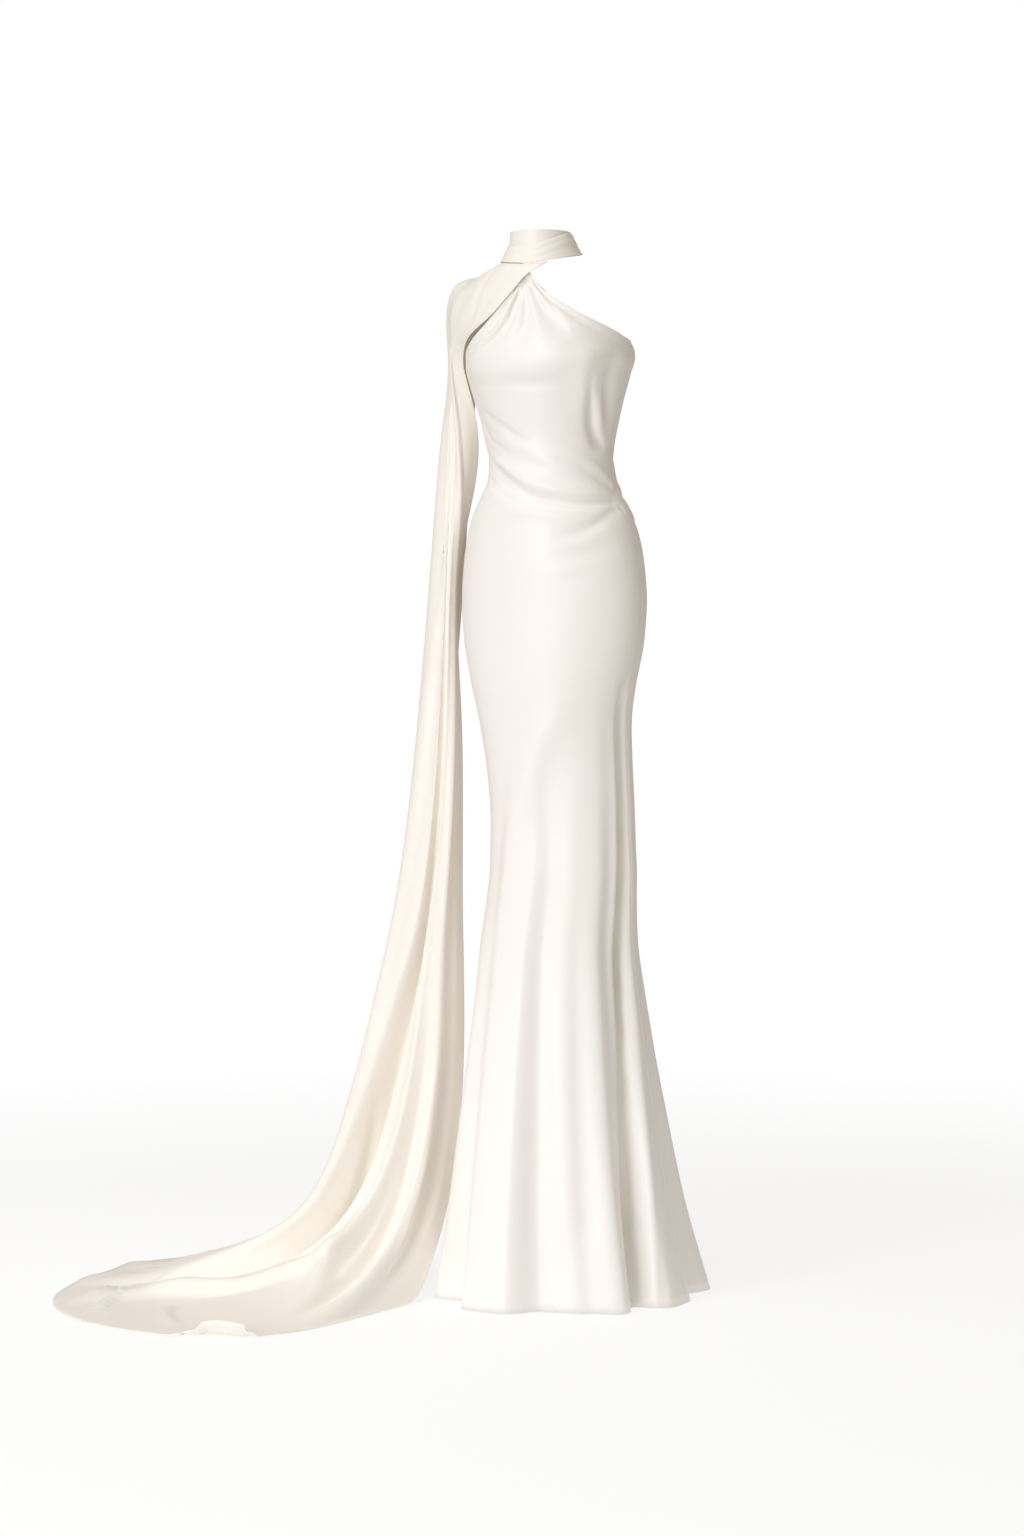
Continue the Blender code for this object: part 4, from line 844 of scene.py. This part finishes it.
def from_edges(points):
    """Distance of each grid point from the side edges, the first row and the last, along the cloth."""
    across = run_lengths(points, 1)
    along = run_lengths(points)
    return across, across[:, -1:] - across, along, along[-1] - along


def rolled(apart):
    """A hem's small roll, by the distance from its edge."""
    return HEM_ROLL * np.exp(-((apart - HEM_WIDTH) / (HEM_WIDTH / 2)) ** 2)


def seam_dip(apart):
    """A seam's small dip, by the distance from its edge."""
    return SEAM_DIP * np.exp(-(apart / SEAM_WIDTH) ** 2)


def curl_hem(points, shares):
    """Turns short stretches of the train's hem up off the floor."""
    _, _, _, from_hem = from_edges(points)
    for middle, half_width, length, turn in HEM_CURLS:
        share = bump((shares - middle) / half_width)
        for column in np.flatnonzero(share > 0):
            run = from_hem[:, column]
            rolling = np.flatnonzero(run < length * share[column])
            if len(rolling) < 2:
                continue
            start = points[rolling[0] - 1, column]
            heading = points[rolling[-1], column] - start
            heading[2] = 0
            heading = unit(heading)
            way = run[rolling[0] - 1] - run[rolling]
            bend = math.radians(turn) * share[column] * np.clip(way / length, 0, 1)
            step_length = np.diff(np.append(0, way))
            forward = np.cumsum(step_length * np.cos(bend))
            points[rolling, column, :2] = start[:2] + forward[:, None] * heading[:2]
            points[rolling, column, 2] = start[2] + np.cumsum(step_length * np.sin(bend))
    return points


def place(points):
    """Heights above the floor become heights above or below the neck."""
    return np.asarray(points) - (0.0, 0.0, HOLD_HEIGHT)


def edged(count, more=()):
    """Shares at even spacing, with close ones next to both edges and any more that are given."""
    even = np.linspace(0, 1, count + 1)
    return np.unique(np.concatenate((even, EDGE_SHARES, 1 - np.array(EDGE_SHARES), more)))


def in_scene(name, data):
    """A new object in the scene."""
    thing = bpy.data.objects.new(name, data)
    bpy.context.scene.collection.objects.link(thing)
    return thing


def cloth_lengths(points):
    """Place on the cloth of each grid point, in metres: across from the middle, and along."""
    across = run_lengths(points, 1)
    across -= across[:, -1:] / 2
    along = run_lengths(points[:, points.shape[1] // 2])
    return np.stack((across, np.broadcast_to(along[:, None], across.shape)), -1)


def shell(name, points, material, closed):
    """A thin shell from its outer points: both sides and the rim, with a map of the cloth in metres."""
    rows, columns = points.shape[:2]
    count = rows * columns
    inside = points - facing(points, closed) * SHELL
    corners = np.concatenate((place(points).reshape(-1, 3), place(inside).reshape(-1, 3)))
    number = np.arange(count).reshape(rows, columns)
    if closed:
        number[:, -1] = number[:, 0]
    quads = np.stack((number[:-1, :-1], number[:-1, 1:], number[1:, 1:], number[1:, :-1]), -1).reshape(-1, 4)
    faces = [quads, quads[:, ::-1] + count]
    loops = [number[0], number[-1][::-1]]
    if not closed:
        loops += [number[:, 0][::-1], number[:, -1]]
    for loop in loops:
        faces.append(np.stack((loop[1:], loop[:-1], loop[:-1] + count, loop[1:] + count), -1))
    mesh = bpy.data.meshes.new(name)
    mesh.from_pydata(corners.tolist(), [], np.concatenate(faces).tolist())
    lengths = np.tile(cloth_lengths(points).reshape(-1, 2), (2, 1))
    on_cloth = mesh.uv_layers.new(name="cloth")
    loop_corners = np.empty(len(mesh.loops), np.int32)
    mesh.loops.foreach_get("vertex_index", loop_corners)
    on_cloth.uv.foreach_set("vector", lengths[loop_corners].astype(np.float32).ravel())
    mesh.shade_smooth()
    mesh.materials.append(material)
    piece = in_scene(name, mesh)
    bpy.context.view_layer.update()
    return piece


def dress(name, points, material, closed=False):
    """Makes one shell, hides the imported solid of the same name, and attaches the shell to the root body.
    """
    piece = shell(name, points, material, closed)
    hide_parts(name.removesuffix("_satin"))
    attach(piece, "root")


def body_steps():
    """Steps of the body panels' rows up to the row below the arms."""
    skirt = np.arange(HEM_HEIGHT, TORSO_START, SKIRT_ROW)
    torso = np.arange(TORSO_START, UNDERARM_ROW, TORSO_ROW)
    return (np.concatenate((skirt, torso)) - HEM_HEIGHT) / (UNDERARM_ROW - HEM_HEIGHT)


def front_panel(material):
    """The bias-cut front, from the hem to its gathered point."""
    between = np.arange(VALLEY_SHARES[0] + 0.5 / FRONT_COLUMNS, VALLEY_SHARES[1], 1 / FRONT_COLUMNS)
    steps = np.concatenate((body_steps(), np.linspace(1, 2, POINT_ROWS)))[:, None]
    points = front_points(edged(FRONT_COLUMNS, between), steps)
    out = facing(points)
    left, right, from_hem, _ = from_edges(points)
    reach = body_folds(points, out, -SIDE_ANGLE, SIDE_ANGLE) + rolled(from_hem)
    on_seam = steps <= 1 + CORNER_SHARE
    reach += np.where(on_seam, seam_dip(left) + seam_dip(right), rolled(left) + rolled(right))
    points += out * reach[..., None]
    dress("front_panel_satin", points, material)


def back_panel(name, side, material):
    """Half of the back, from the hem to below the shoulder blade."""
    steps = np.concatenate((body_steps(), np.linspace(1, 1 + CORNER_SHARE, BACK_TOP_ROWS)))[:, None]
    points = back_points(side, edged(BACK_COLUMNS), steps)
    out = facing(points)
    left, right, from_hem, from_top = from_edges(points)
    reach = body_folds(points, out, *back_span(side))
    reach += rolled(from_hem) + rolled(from_top) + seam_dip(left) + seam_dip(right)
    points += out * reach[..., None]
    dress(name, points, material)


def neck_ring(name, ring_points, rows, material):
    """A closed band round the neck."""
    points = ring_points(np.linspace(0, 1, NECK_COLUMNS + 1), np.linspace(0, 1, rows)[:, None])
    dress(name, points, material, closed=True)


def neck_stand(material):
    """The upright band round the neck."""
    neck_ring("neck_stand_satin", stand_points, STAND_ROWS, material)


def neck_wrap(material):
    """The scarf band wrapped over the stand."""
    neck_ring("neck_wrap_satin", band_points, WRAP_ROWS, material)


def cape_train(material):
    """The cape over the right shoulder, with its train."""
    shares = edged(CAPE_COLUMNS)
    steps = np.concatenate((np.linspace(0, 1, CAPE_SHOULDER_ROWS)[:-1], np.linspace(1, 2, CAPE_FALL_ROWS)))
    points = cape_points(shares, steps)
    left, right, _, from_hem = from_edges(points)
    reach = cape_folds(points, shares, steps) + rolled(left) + rolled(right) + rolled(from_hem)
    points = curl_hem(above_floor(points + facing(points) * reach[..., None]), shares)
    dress("cape_train_satin", points, material)


def node_tree(block):
    """The node tree of a new material or world."""
    block.use_nodes = True
    return block.node_tree


def fill(tree, node, inputs):
    """Gives each named input of a node its value, or links it to the output that feeds it."""
    for name, value in inputs.items():
        if isinstance(value, bpy.types.NodeSocket):
            tree.links.new(value, node.inputs[name])
        else:
            node.inputs[name].default_value = value


def add_node(tree, kind, inputs, output=0, **settings):
    """A new shader node with its inputs and settings: its output."""
    node = tree.nodes.new(kind)
    for name, value in settings.items():
        setattr(node, name, value)
    fill(tree, node, inputs)
    return node.outputs[output]


def mix_into(tree, end, share, first, second):
    """Mixes two shaders by a share, for the node at the tree's end."""
    mixed = add_node(tree, "ShaderNodeMixShader", {0: share, 1: first, 2: second})
    fill(tree, tree.nodes[end], {"Surface": mixed})


def satin(name, colour, grain_turn):
    """Ivory satin: long floats of thread, a soft sheen, and a little uneven colour and lustre."""
    material = bpy.data.materials.new(name)
    tree = node_tree(material)
    cloth = add_node(tree, "ShaderNodeUVMap", {}, uv_map="cloth")
    turned = add_node(tree, "ShaderNodeMapping", {"Vector": cloth, "Rotation": (0, 0, grain_turn)})
    drawn = add_node(tree, "ShaderNodeMapping", {"Vector": turned, "Scale": FLOAT_STRETCH})
    floats = add_node(tree, "ShaderNodeTexNoise", {"Vector": drawn, **FLOAT_NOISE})
    ripple = add_node(tree, "ShaderNodeTexNoise", {"Vector": turned, **RIPPLE_NOISE})
    patches = add_node(tree, "ShaderNodeTexNoise", {"Vector": turned, **PATCH_NOISE})
    tint = add_node(tree, "ShaderNodeValToRGB", {"Fac": patches})
    for end, (spot, shade) in zip(tint.node.color_ramp.elements, TINTS):
        end.position = spot
        end.color = [part * darker for part, darker in zip(colour, shade)]
    lustre = add_node(tree, "ShaderNodeMapRange", {"Value": ripple, **LUSTRE})
    soft = add_node(tree, "ShaderNodeBump", {"Height": ripple, **RIPPLE_RELIEF})
    weave = add_node(tree, "ShaderNodeBump", {"Height": floats, "Normal": soft, **WEAVE_RELIEF})
    shader = tree.nodes["Principled BSDF"]
    fill(tree, shader, {**SATIN, "Base Color": tint, "Roughness": lustre, "Normal": weave})
    return material


def camera():
    """The photograph's camera, level, at the front and a little to the wearer's left."""
    side = Vector((math.cos(VIEW_TURN), math.sin(VIEW_TURN), 0))
    back = Vector((math.sin(VIEW_TURN), -math.cos(VIEW_TURN), 0))
    data = bpy.data.cameras.new("camera")
    data.sensor_width = SENSOR
    data.lens = FOCAL_PIXELS / FRAME_HEIGHT * SENSOR
    data.shift_y = -(FRAME_HEIGHT / 2 - HORIZON_ROW) / FRAME_HEIGHT
    aside = (FRAME_WIDTH / 2 - AXIS_COLUMN) / FOCAL_PIXELS * VIEW_DISTANCE
    eye = in_scene("camera", data)
    eye.location = back * VIEW_DISTANCE + side * aside + Vector((0, 0, EYE_HEIGHT - HOLD_HEIGHT))
    eye.rotation_euler = (-back).to_track_quat("-Z", "Y").to_euler()
    bpy.context.scene.camera = eye


def softbox(name, turn, height, distance, size, power, aim, colour, spread):
    """A square soft light, aimed over the floor."""
    data = bpy.data.lights.new(name, "AREA")
    data.shape = "SQUARE"
    data.size = size
    data.energy = power
    data.color = colour
    data.spread = math.radians(spread)
    lamp = in_scene(name, data)
    lamp.location = Vector((*towards(turn), 0)) * distance + Vector((0, 0, height - HOLD_HEIGHT))
    beam = Vector(place(aim)) - lamp.location
    lamp.rotation_euler = beam.to_track_quat("-Z", "Y").to_euler()


def pale_floor():
    """Material of the floor, which fades into the white surroundings away from the gown."""
    material = bpy.data.materials.new("pale_floor")
    tree = node_tree(material)
    shader = tree.nodes["Principled BSDF"]
    fill(tree, shader, FLOOR)
    spot = add_node(tree, "ShaderNodeTexCoord", {}, output="Object")
    away = add_node(tree, "ShaderNodeVectorMath", {0: spot}, output="Value", operation="LENGTH")
    fade = {"Value": away, "From Min": FLOOR_CLEAR, "From Max": FLOOR_HALF}
    share = add_node(tree, "ShaderNodeMapRange", fade, interpolation_type="SMOOTHSTEP")
    clear = add_node(tree, "ShaderNodeBsdfTransparent", {})
    mix_into(tree, "Material Output", share, shader.outputs[0], clear)
    return material


def floor():
    """The floor that the gown's hem and train reach."""
    mesh = bpy.data.meshes.new("floor")
    half = FLOOR_HALF
    corners = [(-half, -half, 0), (half, -half, 0), (half, half, 0), (-half, half, 0)]
    mesh.from_pydata(corners, [], [(0, 1, 2, 3)])
    mesh.materials.append(pale_floor())
    ground = in_scene("floor", mesh)
    ground.location.z = -HOLD_HEIGHT


def studio():
    """Surroundings that look white and give a dimmer warm light, and soft lights."""
    world = bpy.data.worlds.new("studio")
    tree = node_tree(world)
    room = tree.nodes["Background"]
    fill(tree, room, {"Color": WARM_ROOM, "Strength": ROOM_LIGHT})
    seen = add_node(tree, "ShaderNodeBackground", {"Color": WHITE})
    ray = add_node(tree, "ShaderNodeLightPath", {})
    mix_into(tree, "World Output", ray, room.outputs[0], seen)
    bpy.context.scene.world = world
    bpy.context.scene.view_settings.view_transform = "Standard"
    for light in LIGHTS:
        softbox(*light)


def main():
    """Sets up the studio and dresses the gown."""
    camera()
    floor()
    studio()
    ivory = satin("ivory_satin", IVORY, BIAS)
    warm = satin("warm_satin", WARM_IVORY, STRAIGHT)
    front_panel(ivory)
    back_panel("back_right_satin", -1, ivory)
    back_panel("back_left_satin", 1, ivory)
    neck_stand(warm)
    neck_wrap(warm)
    cape_train(warm)


main()
